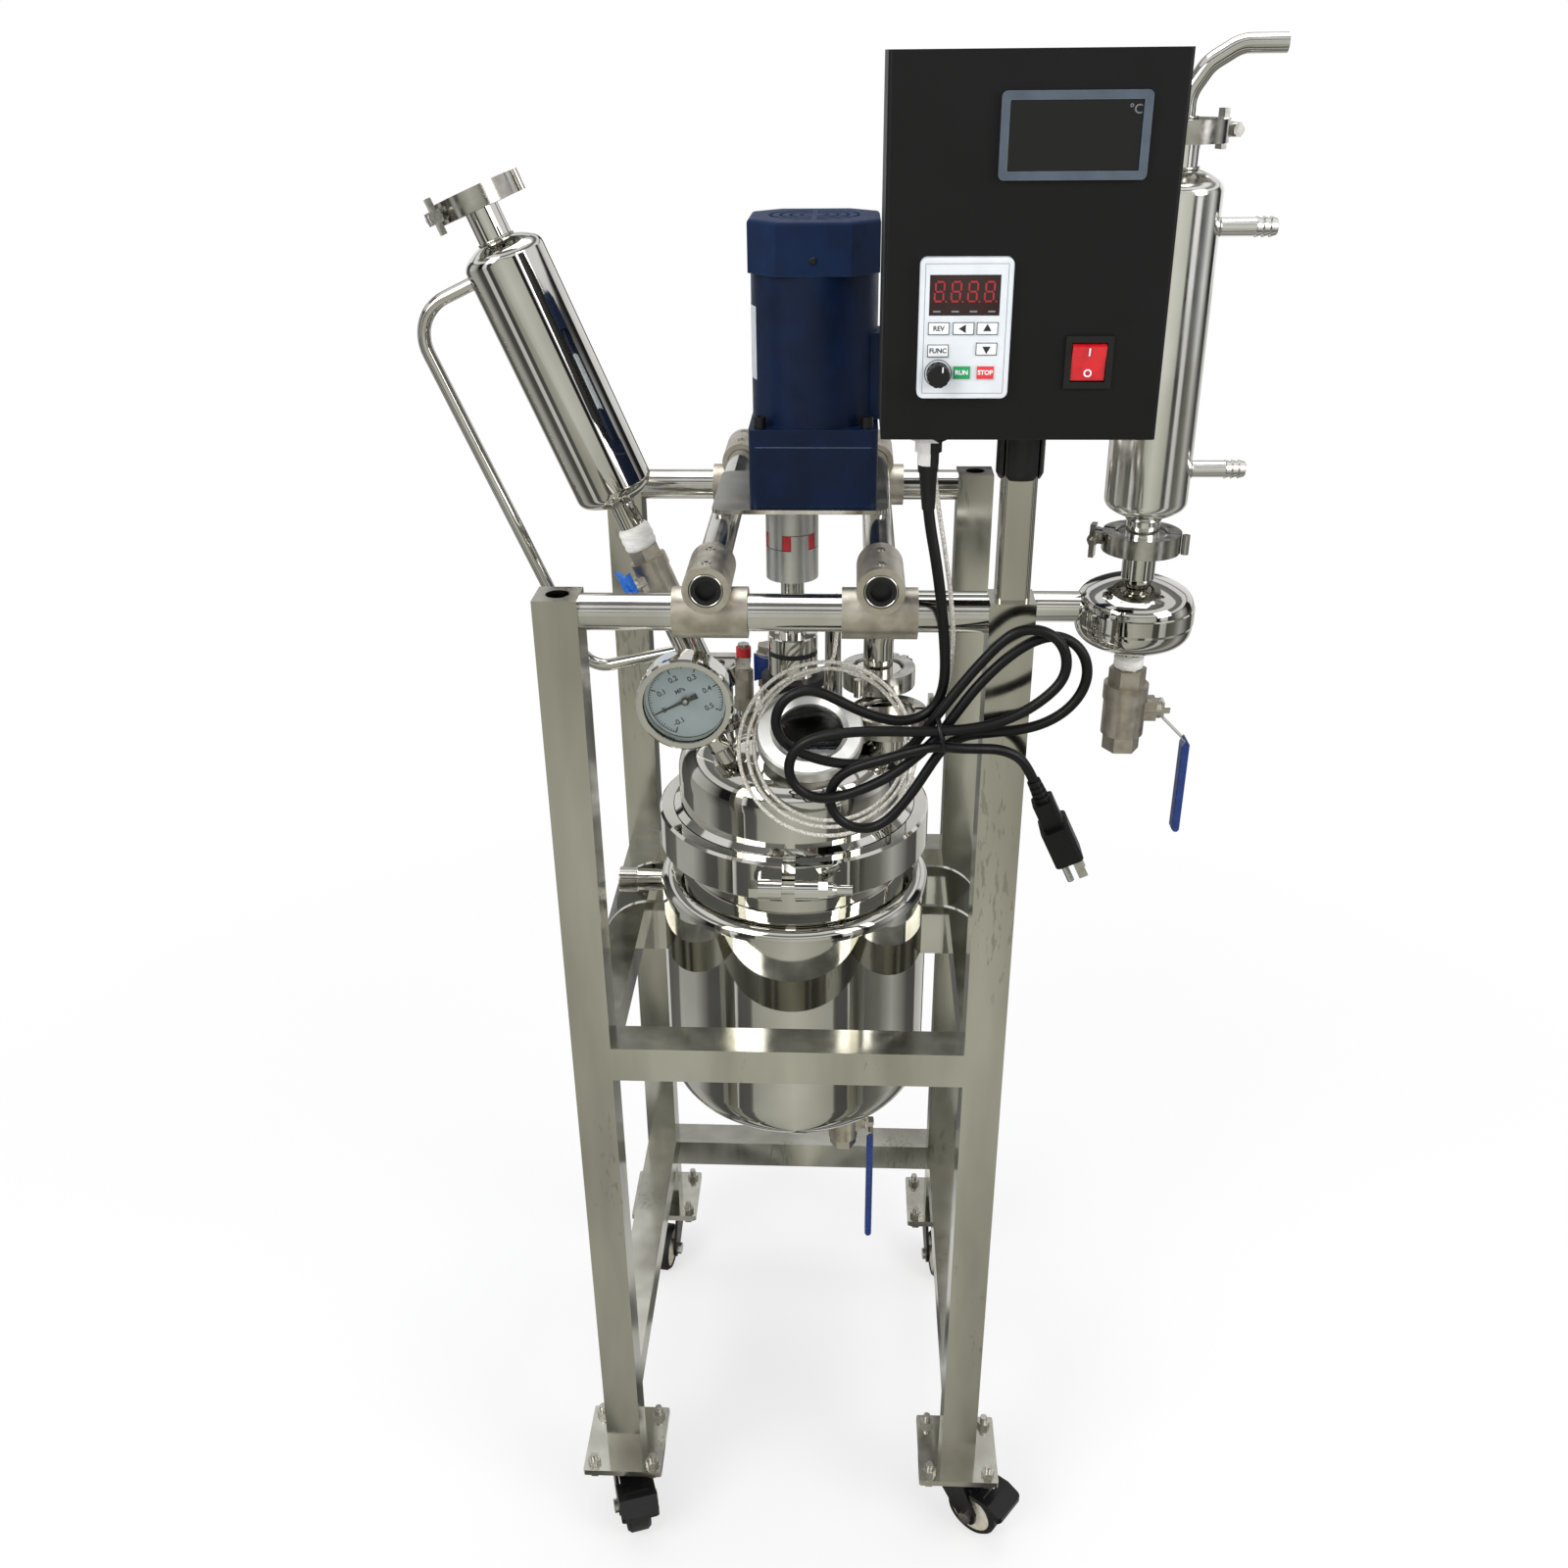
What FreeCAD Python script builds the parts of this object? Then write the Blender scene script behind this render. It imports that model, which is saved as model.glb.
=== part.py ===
import FreeCAD, Part
import math
import os

# A jacketed reaction kettle on a wheeled stand, in millimetres, +Z up, floor at zero.
# The kettle's axis is X = Y = 0 while the pieces are built, with the front towards -Y.
# Last of all the whole object is moved so that the middle of its footprint is the origin.

# Stand of square tube
tube = 30.0
tube_wall = 1.5
stand_width = 330.0
stand_depth = 350.0
leg_top = 892.0
mid_rail_top = 531.0
low_rail_top = 166.0
foot_plate = 70.0
foot_plate_thick = 6.0

# Casters
caster_height = 74.0
caster_plate_thick = 2.5
caster_plate = 66.0
race_radius = 19.0
race_height = 5.5
swivel_gap = 0.3
wheel_radius = 25.0
wheel_width = 21.0
hub_width = 25.0
axle_radius = 4.0
running_fit = 0.05
trail = 24.0
fork_plate = 3.0
fork_inside = 26.0
pedal_width = 34.0
pedal_reach = 60.0
bolt_spacing = 52.0
bolt_radius = 3.0
nut_across = 10.0
front_left_angle = -72.0
front_right_angle = -38.0
back_left_angle = -98.0
back_right_angle = -84.0

# Kettle: inner vessel, jacket, flanges and lid
vessel_radius = 94.0
vessel_wall = 2.0
vessel_base = 425.0
jacket_radius = 113.0
jacket_wall = 2.0
jacket_base = 418.0
shoulder_top = 600.0
shoulder_knuckle = 12.0
drain_radius = 12.7
drain_wall = 1.5
drain_end = 348.8
gasket_mid = 642.0
gasket_thick = 2.0
flange_radius = 105.5
flange_edge = 5.0
hub_radius = 99.0
flange_slope = 4.5
lid_rise = 661.0
lid_cylinder_top = 690.0
lid_wall = 2.5
clamp_radius = 111.0
clamp_height = 34.0
clamp_clear = 0.4
clamp_gap = 10.0
barrel_radius = 8.5
barrel_length = 18.0
clamp_bolt_radius = 4.0

# Ferrules and their clamps
ferrule_radius = 25.2
ferrule_edge = 2.6
ferrule_hub = 18.0
ferrule_slope = 2.4
ferrule_gasket = 1.6
ferrule_ring_radius = 30.0
ferrule_ring_height = 15.0

# Agitator drive
shaft_radius = 9.0
shaft_end = 452.0
coupling_radius = 20.0
seal_radius = 19.5
seal_base = 770.0
seal_top = 805.0
boss_radius = 24.5
bar_radius = 12.5
side_bar_radius = 11.0
cross_bar_y = (stand_depth - tube) / 2
side_bar_left = -48.0
side_bar_right = 64.0
side_bar_over = 28.0
side_bar_half = cross_bar_y + side_bar_over
clamp_wall = 4.3
plate_thick = 3.0
plate_x0 = -56.0
plate_x1 = 71.0
plate_half = 55.0
gear_side = 92.0
gear_height = 55.0
gear_offset = 17.0
motor_radius = 45.0
motor_height = 193.0
cover_height = 35.0
cover_side = 91.0

# Control box
post_x = (stand_width - tube) / 2
post_y = -(stand_depth - tube) / 2
box_width = 160.0
box_depth = 100.0
box_height = 205.0
box_left = 89.0
box_back = 45.0
box_rise = 116.0
box_x0 = post_x - box_left
box_x1 = box_x0 + box_width
box_y1 = post_y + box_back
box_y0 = box_y1 - box_depth
box_z0 = leg_top + box_rise
box_z1 = box_z0 + box_height
post_side = 22.0
socket_radius = 15.0
socket_length = 36.0
socket_base = box_z0 - socket_length

# Dropping funnel, built upright on its own axis and then leant over
funnel_x = -64.0
funnel_y = 50.0
funnel_z = 716.0
funnel_lean = 22.3
shell_radius = 31.0
shell_wall = 1.5
neck_radius = 12.7

# Condenser and receiver
condenser_x = 268.5
condenser_y = 25.0
condenser_base = 891.0
condenser_top = 1139.0
pot_radius = 45.5
pot_mid = 814.0
pot_half = 31.0
vapour_x = 68.0
vapour_z = 819.0
vapour_bend = 32.0

# Lid ports, as places of their axes
gauge_x = -51.0
gauge_y = -50.0
gauge_lean = -28.0
sight_x = 15.0
sight_y = -52.0
sight_lean = 30.0
sight_radius = 41.0
relief_x = -40.0
relief_y = 12.0
vent_x = -24.0
vent_y = 62.0
well_x = 31.0
well_y = 60.0
spare_x = 76.0
spare_y = -22.0

# Cords
mains_radius = 3.5
sensor_radius = 1.5

# Jacket fittings and ears
nipple_radius = 10.5
nipple_length = 38.0
thread_length = 16.0
nipple_y = 8.0
nipple_z = 574.0
jacket_drain_x = 44.0
jacket_drain_y = 52.0
jacket_drain_top = 303.0
ear_spacing = 66.0
ear_thick = 4.0
ear_height = 46.0

# Heights of the lid's fittings
sight_neck = 16.0
vapour_joint = 760.0
spare_joint = 742.5
relief_base = 735.0
vent_base = 735.0
well_shoulder = 752.0
well_top = 800.0

# Clamped joints
funnel_foot = 29.0
funnel_top_joint = 436.0
condenser_joint = 873.5
outlet_joint = 1162.0

# Fittings, panel and cords
seat_clear = 0.3
barrel_place = 119.0
bar_drop = 12.0
bar_gap = 1.5
cross_bar_z = leg_top - bar_drop
side_bar_z = cross_bar_z + bar_radius + side_bar_radius + bar_gap
output_radius = 6.0
gear_base = side_bar_z + side_bar_radius + plate_thick
motor_top = gear_base + motor_height
coupling_drop = 67.0
coupling_base = gear_base - coupling_drop
sight_hole = 26.0
sight_thick = 12.0
glass_radius = 30.0
gauge_reach = 60.0
zero_angle = 206.0
spindle_radius = 3.0
pot_valve_z = 732.5
pot_valve_length = 71.0
jacket_valve_length = 52.0
vent_valve_length = 36.0
funnel_valve_t = 128.0
funnel_valve_length = 52.0
funnel_handle_turn = 215.0
funnel_low = 192.0
funnel_high = 407.0
relief_pivot = 40.0
equalizer_offset = 86.0
equalizer_high = 385.0
equalizer_low = 62.0
equalizer_radius = 5.0
barb_low = 929.0
barb_high = 1100.0
vapour_radius = 12.0
wing_angles = (200.0, 60.0, 5.0, 150.0, 205.0, 160.0, 15.0)
bezel_x0 = box_x0 + 60.5
bezel_x1 = bezel_x0 + 79.5
bezel_z0 = box_z0 + 141.0
bezel_z1 = bezel_z0 + 44.0
bezel_border = 4.5
rocker_x0 = box_x0 + 104.0
rocker_x1 = rocker_x0 + 27.0
rocker_z0 = box_z0 + 30.0
rocker_z1 = rocker_z0 + 29.0
rocker_depth = 2.0
panel_x0 = box_x0 + 20.0
panel_x1 = panel_x0 + 52.0
panel_z0 = box_z0 + 25.0
panel_z1 = panel_z0 + 77.0
panel_thick = 6.0
knob_x = panel_x0 + 11.8
knob_z = panel_z0 + 14.3
key_places = ((11.3, 39.2, 12, 7), (25.2, 39.2, 12, 7), (38.6, 39.2, 12, 7), (11.3, 27, 12, 7),
              (38.6, 28, 12, 7),
              (25.2, 14.9, 10.5, 8), (38.6, 14.9, 10.5, 8))
gland_x = box_x0 + 30.0
gland_y = box_y0 + 30.0
gland_end = box_z0 - 22.0
sensor_x = box_x0 + 35.0
sensor_y = box_y0 + 57.0
spare_gland_x = box_x0 + 138.0
spare_gland_y = box_y0 + 50.0
plug_axis = (0.429, 0, -0.903)
plug_top = (169.0, -191.0, 773.0)
hank_y0 = -206.0
hank_y1 = -180.0
hank_outline = ((114, 824), (119, 838), (138, 874), (158, 887), (176, 885), (188, 876), (199, 866),
                (203, 850), (200, 832), (187, 816),
                (168, 806.5), (140, 803.2), (122, 803.2), (122, 792), (108, 792), (103, 778), (92, 762),
                (78, 743), (57, 730.5), (38, 735),
                (32, 757), (26, 765), (9, 767), (4, 780), (8, 795), (2, 815), (3, 830), (14, 838.5),
                (35, 833), (57, 821.5), (76, 816),
                (99, 816), (99, 824))
coil_centre = (30.0, -73.5, 741.0)
coil_up = (0, 80.0, 110.0)
coil_radius = 64.0
coil_tube = 4.0
coil_in = -4.0
coil_out = 88.0
mains_lead = ((91, -185, 986), (91, -185, 968), (93.5, -186.5, 948), (98, -188.5, 926), (102, -189.5, 902),
              (105, -190.5, 876), (107, -191, 850), (107, -191, 824))
mains_tail = ((122, -191, 798), (143, -191, 798), (161.3, -191, 789.2), (169, -191, 773))
sensor_lead = ((96, -158, 999), (96, -158, 983), (98.5, -166, 959), (104, -175, 930), (109, -176.5, 900),
               (112.5, -176, 870),
               (112, -170, 842), (109, -153, 819), (105, -132, 800), (101.5, -113, 780), (97.5, -96, 760),
               (95.4, -84.7, 747.2))
sensor_tail = ((32.9, -29.8, 799.3), (34.2, -18.9, 811), (37, -3, 817), (37.5, 17, 820), (36.5, 37, 821),
               (33.5, 51.5, 819), (31, 60, 811), (31, 60, 800))

V = FreeCAD.Vector
UP = V(0, 0, 1)
shapes = {}


def cyl(radius, z0, z1, x=0.0, y=0.0):
    """Upright cylinder between two heights."""
    return Part.makeCylinder(radius, z1 - z0, V(x, y, z0))


def rod(radius, start, end):
    """Cylinder between two points."""
    a = V(*start)
    b = V(*end)
    return Part.makeCylinder(radius, (b - a).Length, a, b - a)


def block(x0, y0, z0, x1, y1, z1):
    return Part.makeBox(x1 - x0, y1 - y0, z1 - z0, V(x0, y0, z0))


def round_block(x0, y0, z0, x1, y1, z1, radius):
    """Block whose upright edges are rounded."""
    solid = block(x0, y0, z0, x1, y1, z1)
    edges = [e for e in solid.Edges if abs(e.Vertexes[0].Z - e.Vertexes[1].Z) > 0.5 * (z1 - z0)]
    return solid.makeFillet(radius, edges)


def turned(points):
    """Solid turned about Z from an outline of (radius, height) points."""
    corners = [V(r, 0, z) for r, z in points]
    face = Part.Face(Part.makePolygon(corners + [corners[0]]))
    return face.revolve(V(0, 0, 0), UP, 360)


def head_edges(radius, knuckle, crown, z, side):
    """Dished head from the axis to the cylinder, as a crown arc and a knuckle arc, side 1 up or -1 down."""
    drop = math.sqrt((crown - knuckle) ** 2 - (radius - knuckle) ** 2)
    reach = crown / (crown - knuckle)
    tip = V(0, 0, z + side * (crown - drop))
    touch = V((radius - knuckle) * reach, 0, z + side * (drop * reach - drop))
    half = 0.5 * math.atan2(radius - knuckle, drop)
    mid = V(crown * math.sin(half), 0, z + side * (crown * math.cos(half) - drop))
    turn = math.atan2(drop, radius - knuckle) * 0.5
    bulge = V(radius - knuckle + knuckle * math.cos(turn), 0, z + side * knuckle * math.sin(turn))
    rim = V(radius, 0, z)
    return [Part.Arc(tip, mid, touch).toShape(), Part.Arc(touch, bulge, rim).toShape()], tip


def head_height(radius, knuckle, crown):
    return crown - math.sqrt((crown - knuckle) ** 2 - (radius - knuckle) ** 2)


def bottle(radius, z0, z1, bottom, top):
    """Closed round body: bottom and top are (knuckle, crown) of a dished head, or None for a flat end."""
    edges = []
    low = V(0, 0, z0)
    high = V(0, 0, z1)
    if bottom:
        arcs, low = head_edges(radius, bottom[0], bottom[1], z0, -1)
        edges += arcs
    else:
        edges.append(Part.LineSegment(low, V(radius, 0, z0)).toShape())
    edges.append(Part.LineSegment(V(radius, 0, z0), V(radius, 0, z1)).toShape())
    if top:
        arcs, high = head_edges(radius, top[0], top[1], z1, 1)
        edges += arcs
    else:
        edges.append(Part.LineSegment(high, V(radius, 0, z1)).toShape())
    edges.append(Part.LineSegment(low, high).toShape())
    wire = Part.Wire(Part.__sortEdges__(edges))
    return Part.Face(wire).revolve(V(0, 0, 0), UP, 360)


def prism(points, z0, z1):
    corners = [V(x, y, z0) for x, y in points]
    return Part.Face(Part.makePolygon(corners + [corners[0]])).extrude(V(0, 0, z1 - z0))


def plate_xz(points, y0, y1):
    """Plate cut to an outline of (x, z) points, between two depths."""
    corners = [V(x, y0, z) for x, z in points]
    return Part.Face(Part.makePolygon(corners + [corners[0]])).extrude(V(0, y1 - y0, 0))


def hexagon(across, z0, z1, x=0.0, y=0.0):
    r = across / math.sqrt(3)
    points = [(x + r * math.cos(math.radians(60 * i)), y + r * math.sin(math.radians(60 * i)))
              for i in range(6)]
    return prism(points, z0, z1)


def fuse(first, *others):
    return first.fuse(list(others)).removeSplitter()


def moved(shape, x=0.0, y=0.0, z=0.0):
    copy = shape.copy()
    copy.translate(V(x, y, z))
    return copy


def turned_about(shape, axis, degrees, centre=(0, 0, 0)):
    copy = shape.copy()
    copy.rotate(V(*centre), V(*axis), degrees)
    return copy


def pipe(points, radius, bends):
    """Round bar along straight runs joined by tangent arcs, one radius for each inner point."""
    nodes = [V(*p) for p in points]
    edges = []
    start = nodes[0]
    for i in range(1, len(nodes) - 1):
        before = (nodes[i] - nodes[i - 1]).normalize()
        after = (nodes[i + 1] - nodes[i]).normalize()
        turn = before.getAngle(after)
        cut = bends[i - 1] * math.tan(turn / 2)
        a = nodes[i] - before * cut
        b = nodes[i] + after * cut
        inward = (after - before).normalize()
        middle = nodes[i] + inward * (bends[i - 1] / math.cos(turn / 2) - bends[i - 1])
        if (a - start).Length > 1e-6:
            edges.append(Part.LineSegment(start, a).toShape())
        edges.append(Part.Arc(a, middle, b).toShape())
        start = b
    edges.append(Part.LineSegment(start, nodes[-1]).toShape())
    path = Part.Wire(edges)
    ring = Part.Wire(Part.makeCircle(radius, nodes[0], nodes[1] - nodes[0]))
    return path.makePipeShell([ring], True, False), path.Length


def cord_bends(points, share=0.45):
    """The largest arc radius at each inner point that its two runs allow."""
    nodes = [V(*p) for p in points]
    found = []
    for i in range(1, len(nodes) - 1):
        before = nodes[i] - nodes[i - 1]
        after = nodes[i + 1] - nodes[i]
        turn = before.getAngle(after)
        found.append(share * min(before.Length, after.Length) / math.tan(turn / 2))
    return found


def ferrule(z_face, up, bore):
    """Half of a clamped joint: a flange whose flat face is at z_face, with its slope and hub on the side given."""
    s = 1 if up else -1
    outline = [(bore, z_face), (ferrule_radius, z_face), (ferrule_radius, z_face + s * ferrule_edge)]
    outline.append((ferrule_hub, z_face + s * (ferrule_edge + ferrule_slope)))
    outline.append((bore, z_face + s * (ferrule_edge + ferrule_slope)))
    return turned(outline)


def ferrule_clamp(wing_angle):
    """Two half rings round a pair of ferrules, with a hinge at one end and a wing nut on a swing bolt at the other."""
    half = ferrule_ring_height / 2
    seat = ferrule_gasket / 2 + ferrule_edge
    rim = ferrule_radius + clamp_clear
    lip = ferrule_hub + 3.0
    slope = ferrule_slope * (ferrule_radius - lip) / (ferrule_radius - ferrule_hub)
    right = [(rim, 0), (rim, seat), (lip, seat + slope + clamp_clear), (lip, half),
             (ferrule_ring_radius, half)]
    outline = right + [(ferrule_ring_radius, -half), (lip, -half), (lip, -seat - slope - clamp_clear),
                       (rim, -seat)]
    ring = turned(outline)
    ring = ring.cut(block(ferrule_hub, -2.0, -half - 1, ferrule_ring_radius + 1, 2.0, half + 1))
    ring = ring.cut(block(-ferrule_ring_radius - 1, -0.6, -half - 1, -ferrule_hub, 0.6, half + 1))
    halves = [s for s in ring.Solids]
    hinge = rod(3.0, (-ferrule_ring_radius - 3.3, 0, -half), (-ferrule_ring_radius - 3.3, 0, half))
    ears = []
    for side in (1, -1):
        y0, y1 = sorted((side * 2.0, side * 7.0))
        ear = block(ferrule_ring_radius - 1.5, y0, -4.5, ferrule_ring_radius + 9, y1, 4.5)
        ears.append(ear)
    ends = []
    for solid, side in zip(sorted(halves, key=lambda h: -h.CenterOfMass.y), (1, -1)):
        ear = ears[0] if side > 0 else ears[1]
        ends.append(fuse(solid, ear))
    bolt_x = ferrule_ring_radius + 5.0
    bolt = rod(2.2, (bolt_x, -11, 0), (bolt_x, 21, 0))
    hole = rod(2.5, (bolt_x, -12, 0), (bolt_x, 22, 0))
    ends = [e.cut(hole) for e in ends]
    wing = rod(4.6, (bolt_x, 7.0, 0), (bolt_x, 13.0, 0))
    blade = block(bolt_x - 2, 8.0, -13, bolt_x + 2, 17.0, 13)
    head = rod(4.0, (bolt_x, -11, 0), (bolt_x, -7.0, 0))
    pieces = [ends[0], ends[1], fuse(bolt, wing, blade, head), hinge]
    return [turned_about(p, (0, 0, 1), wing_angle) for p in pieces]


def stand():
    """Legs, rails and foot plates of square tube welded together, with the post for the control box."""
    w = stand_width / 2
    d = stand_depth / 2
    base = caster_height + foot_plate_thick
    pieces = []
    for sx in (-1, 1):
        for sy in (-1, 1):
            x0, x1 = sorted((sx * w, sx * (w - tube)))
            y0, y1 = sorted((sy * d, sy * (d - tube)))
            leg = block(x0, y0, base, x1, y1, leg_top)
            core = block(x0 + tube_wall, y0 + tube_wall, base + 3, x1 - tube_wall, y1 - tube_wall,
                         leg_top - 3)
            hole = cyl(8.0, leg_top - 4, leg_top + 1, (x0 + x1) / 2, (y0 + y1) / 2)
            leg = leg.cut(core)
            if not (sx > 0 and sy < 0):
                leg = leg.cut(hole)
            pieces.append(leg)
            plate = foot_plate_solid((x0 + x1) / 2, (y0 + y1) / 2, caster_height, foot_plate,
                                     foot_plate_thick)
            pieces.append(plate)
    x = w - tube
    y = d - tube
    for top, y0 in ((mid_rail_top, -d), (mid_rail_top, y), (low_rail_top, y)):
        rail = block(-x, y0, top - tube, x, y0 + tube, top)
        pieces.append(rail.cut(block(-x - 1, y0 + tube_wall, top - tube + tube_wall, x + 1,
                                     y0 + tube - tube_wall, top - tube_wall)))
    for top in (mid_rail_top, low_rail_top):
        for x0 in (-w, x):
            rail = block(x0, -y, top - tube, x0 + tube, y, top)
            core = block(x0 + tube_wall, -y - 1, top - tube + tube_wall, x0 + tube - tube_wall, y + 1,
                         top - tube_wall)
            pieces.append(rail.cut(core))
    h = post_side / 2
    post = round_block(post_x - h, post_y - h, leg_top, post_x + h, post_y + h, box_z0 + 60, 4.0)
    core = round_block(post_x - h + 1.5, post_y - h + 1.5, leg_top - 1, post_x + h - 1.5, post_y + h - 1.5,
                       box_z0 + 61, 2.5)
    pieces.append(post.cut(core))
    return pieces


def bolt_places():
    w = (stand_width - tube) / 2
    d = (stand_depth - tube) / 2
    half = bolt_spacing / 2
    return [(sx * w + bx * half, sy * d + by * half) for sx in (-1, 1) for sy in (-1, 1) for bx in (-1, 1)
            for by in (-1, 1)]


def foot_plate_solid(x, y, z, side, thick):
    """Square plate under a leg, with its four bolt holes."""
    h = side / 2
    plate = round_block(x - h, y - h, z, x + h, y + h, z + thick, 2.0)
    half = bolt_spacing / 2
    for bx in (-half, half):
        for by in (-half, half):
            plate = plate.cut(cyl(bolt_radius + 0.3, z - 1, z + thick + 1, x + bx, y + by))
    return plate


def caster_plates():
    """Top plate and swivel race of each caster, bolted under the foot plates."""
    w = (stand_width - tube) / 2
    d = (stand_depth - tube) / 2
    z0 = caster_height - caster_plate_thick
    found = []
    for x in (-w, w):
        for y in (-d, d):
            plate = foot_plate_solid(x, y, z0, caster_plate, caster_plate_thick)
            race = cyl(race_radius, z0 - race_height, z0, x, y)
            bore = cyl(5.0 + running_fit, z0 - race_height - 1, z0 - 0.5, x, y)
            found.append(fuse(plate, race).cut(bore))
    return found


def plate_bolts():
    """Bolts up through each caster plate and foot plate, with a nut on top."""
    found = []
    low = caster_height - caster_plate_thick
    top = caster_height + foot_plate_thick
    for x, y in bolt_places():
        shank = cyl(bolt_radius, low - 1, top + 11, x, y)
        head = hexagon(nut_across, low - 4, low, x, y)
        nut = hexagon(nut_across, top, top + 5, x, y)
        found.append(fuse(shank, head, nut))
    return found


def caster(x, y, angle, braked):
    """Fork, wheel and pedal of a caster whose wheel trails along +X, then turned to its angle."""
    crown_top = caster_height - caster_plate_thick - race_height - swivel_gap
    crown = cyl(18.0, crown_top - 4.5, crown_top)
    pin = cyl(5.0, crown_top - 1, crown_top + race_height - 0.5)
    inside = fork_inside / 2
    outline = [(-15, crown_top - 4.5), (-15, crown_top - 9), (trail - 9, wheel_radius - 4),
               (trail - 5, wheel_radius - 8)]
    outline += [(trail + 5, wheel_radius - 8), (trail + 9, wheel_radius - 3), (trail + 9, wheel_radius + 6)]
    outline += [(16, crown_top - 1), (-12, crown_top - 1)]
    legs = [plate_xz(outline, inside, inside + fork_plate),
            plate_xz(outline, -inside - fork_plate, -inside)]
    bridge = block(-15, -inside - 0.5, crown_top - 4.5, 15.5, inside + 0.5, crown_top - 1)
    out = inside + fork_plate
    axle = rod(axle_radius, (trail, -out - 2, wheel_radius), (trail, out + 2, wheel_radius))
    nut = turned_about(hexagon(11.0, 0, 4.5), (1, 0, 0), -90)
    nut = moved(nut, trail, out - 0.2, wheel_radius)
    head = rod(6.0, (trail, -out - 3.5, wheel_radius), (trail, -out + 0.2, wheel_radius))
    fork = fuse(crown, pin, legs[0], legs[1], bridge, axle, nut, head)
    half = wheel_width / 2
    tread = [(axle_radius + running_fit, -hub_width / 2), (8.5, -hub_width / 2), (9.5, -half + 2.5),
             (19.5, -half + 2.5)]
    tread += [(20.5, -half), (wheel_radius - 2.5, -half), (wheel_radius, -half + 3.0),
              (wheel_radius, half - 3.0)]
    tread += [(wheel_radius - 2.5, half), (20.5, half), (19.5, half - 2.5), (9.5, half - 2.5),
              (8.5, hub_width / 2)]
    tread += [(axle_radius + running_fit, hub_width / 2)]
    wheel = turned_about(turned(tread), (1, 0, 0), 90)
    wheel = moved(wheel, trail, 0, wheel_radius)
    parts = [fork, wheel]
    if braked:
        pivot = (8.0, wheel_radius * 2 + 4.5)
        arm = block(pivot[0] - 3, -inside + 0.6, pivot[1] - 2.2, 30, inside - 0.6, pivot[1] + 2.0)
        half = pedal_width / 2
        tip = pedal_reach
        side = [(27, pivot[1] - 2.2), (44, pivot[1] - 2.6), (tip - 3, pivot[1] - 11), (tip, pivot[1] - 9)]
        side += [(tip, pivot[1] - 4), (46, pivot[1] + 2.4), (27, pivot[1] + 2.0)]
        tread_plate = plate_xz(side, -half, half)
        corner = [e for e in tread_plate.Edges if abs(e.Vertexes[0].X - tip) < 0.1
                  and abs(e.Vertexes[1].X - tip) < 0.1 and abs(e.Vertexes[0].Z - e.Vertexes[1].Z) > 1]
        tread_plate = tread_plate.makeFillet(4.0, corner)
        for shift in (-4.5, 4.5):
            tread_plate = tread_plate.cut(block(33 + shift, -half + 5, pivot[1] - 10, 35.5 + shift,
                                                half - 5, pivot[1] + 9))
        pin_hole = rod(2.5, (pivot[0], -out, pivot[1]), (pivot[0], out, pivot[1]))
        parts[0] = parts[0].cut(rod(2.5 + running_fit, (pivot[0], -out - 1, pivot[1]),
                                    (pivot[0], out + 1, pivot[1])))
        parts.append(fuse(arm, tread_plate, pin_hole))
    return [moved(turned_about(p, (0, 0, 1), angle), x, y, 0) for p in parts]


def inner_vessel():
    """Round-bottomed pot with a drain neck below and a sloped flange at its mouth."""
    head = (32.0, 170.0)
    mouth = gasket_mid - gasket_thick / 2
    outer = bottle(vessel_radius, vessel_base, mouth, head, None)
    collar = turned([(vessel_radius - 1, mouth), (flange_radius, mouth),
                     (flange_radius, mouth - flange_edge),
                     (hub_radius, mouth - flange_edge - flange_slope),
                     (vessel_radius - 1, mouth - flange_edge - flange_slope - 4)])
    neck = cyl(drain_radius, drain_end, vessel_base - head_height(vessel_radius, *head) + 4)
    outer = fuse(outer, collar, neck)
    thin = vessel_radius - vessel_wall
    cavity = bottle(thin, vessel_base, mouth + 1, (head[0] - vessel_wall, head[1] - vessel_wall), None)
    bore = cyl(drain_radius - drain_wall, drain_end - 1, vessel_base - 20)
    foot = ferrule(drain_end, True, drain_radius - drain_wall)
    return fuse(outer.cut(cavity).cut(bore), foot)


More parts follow.
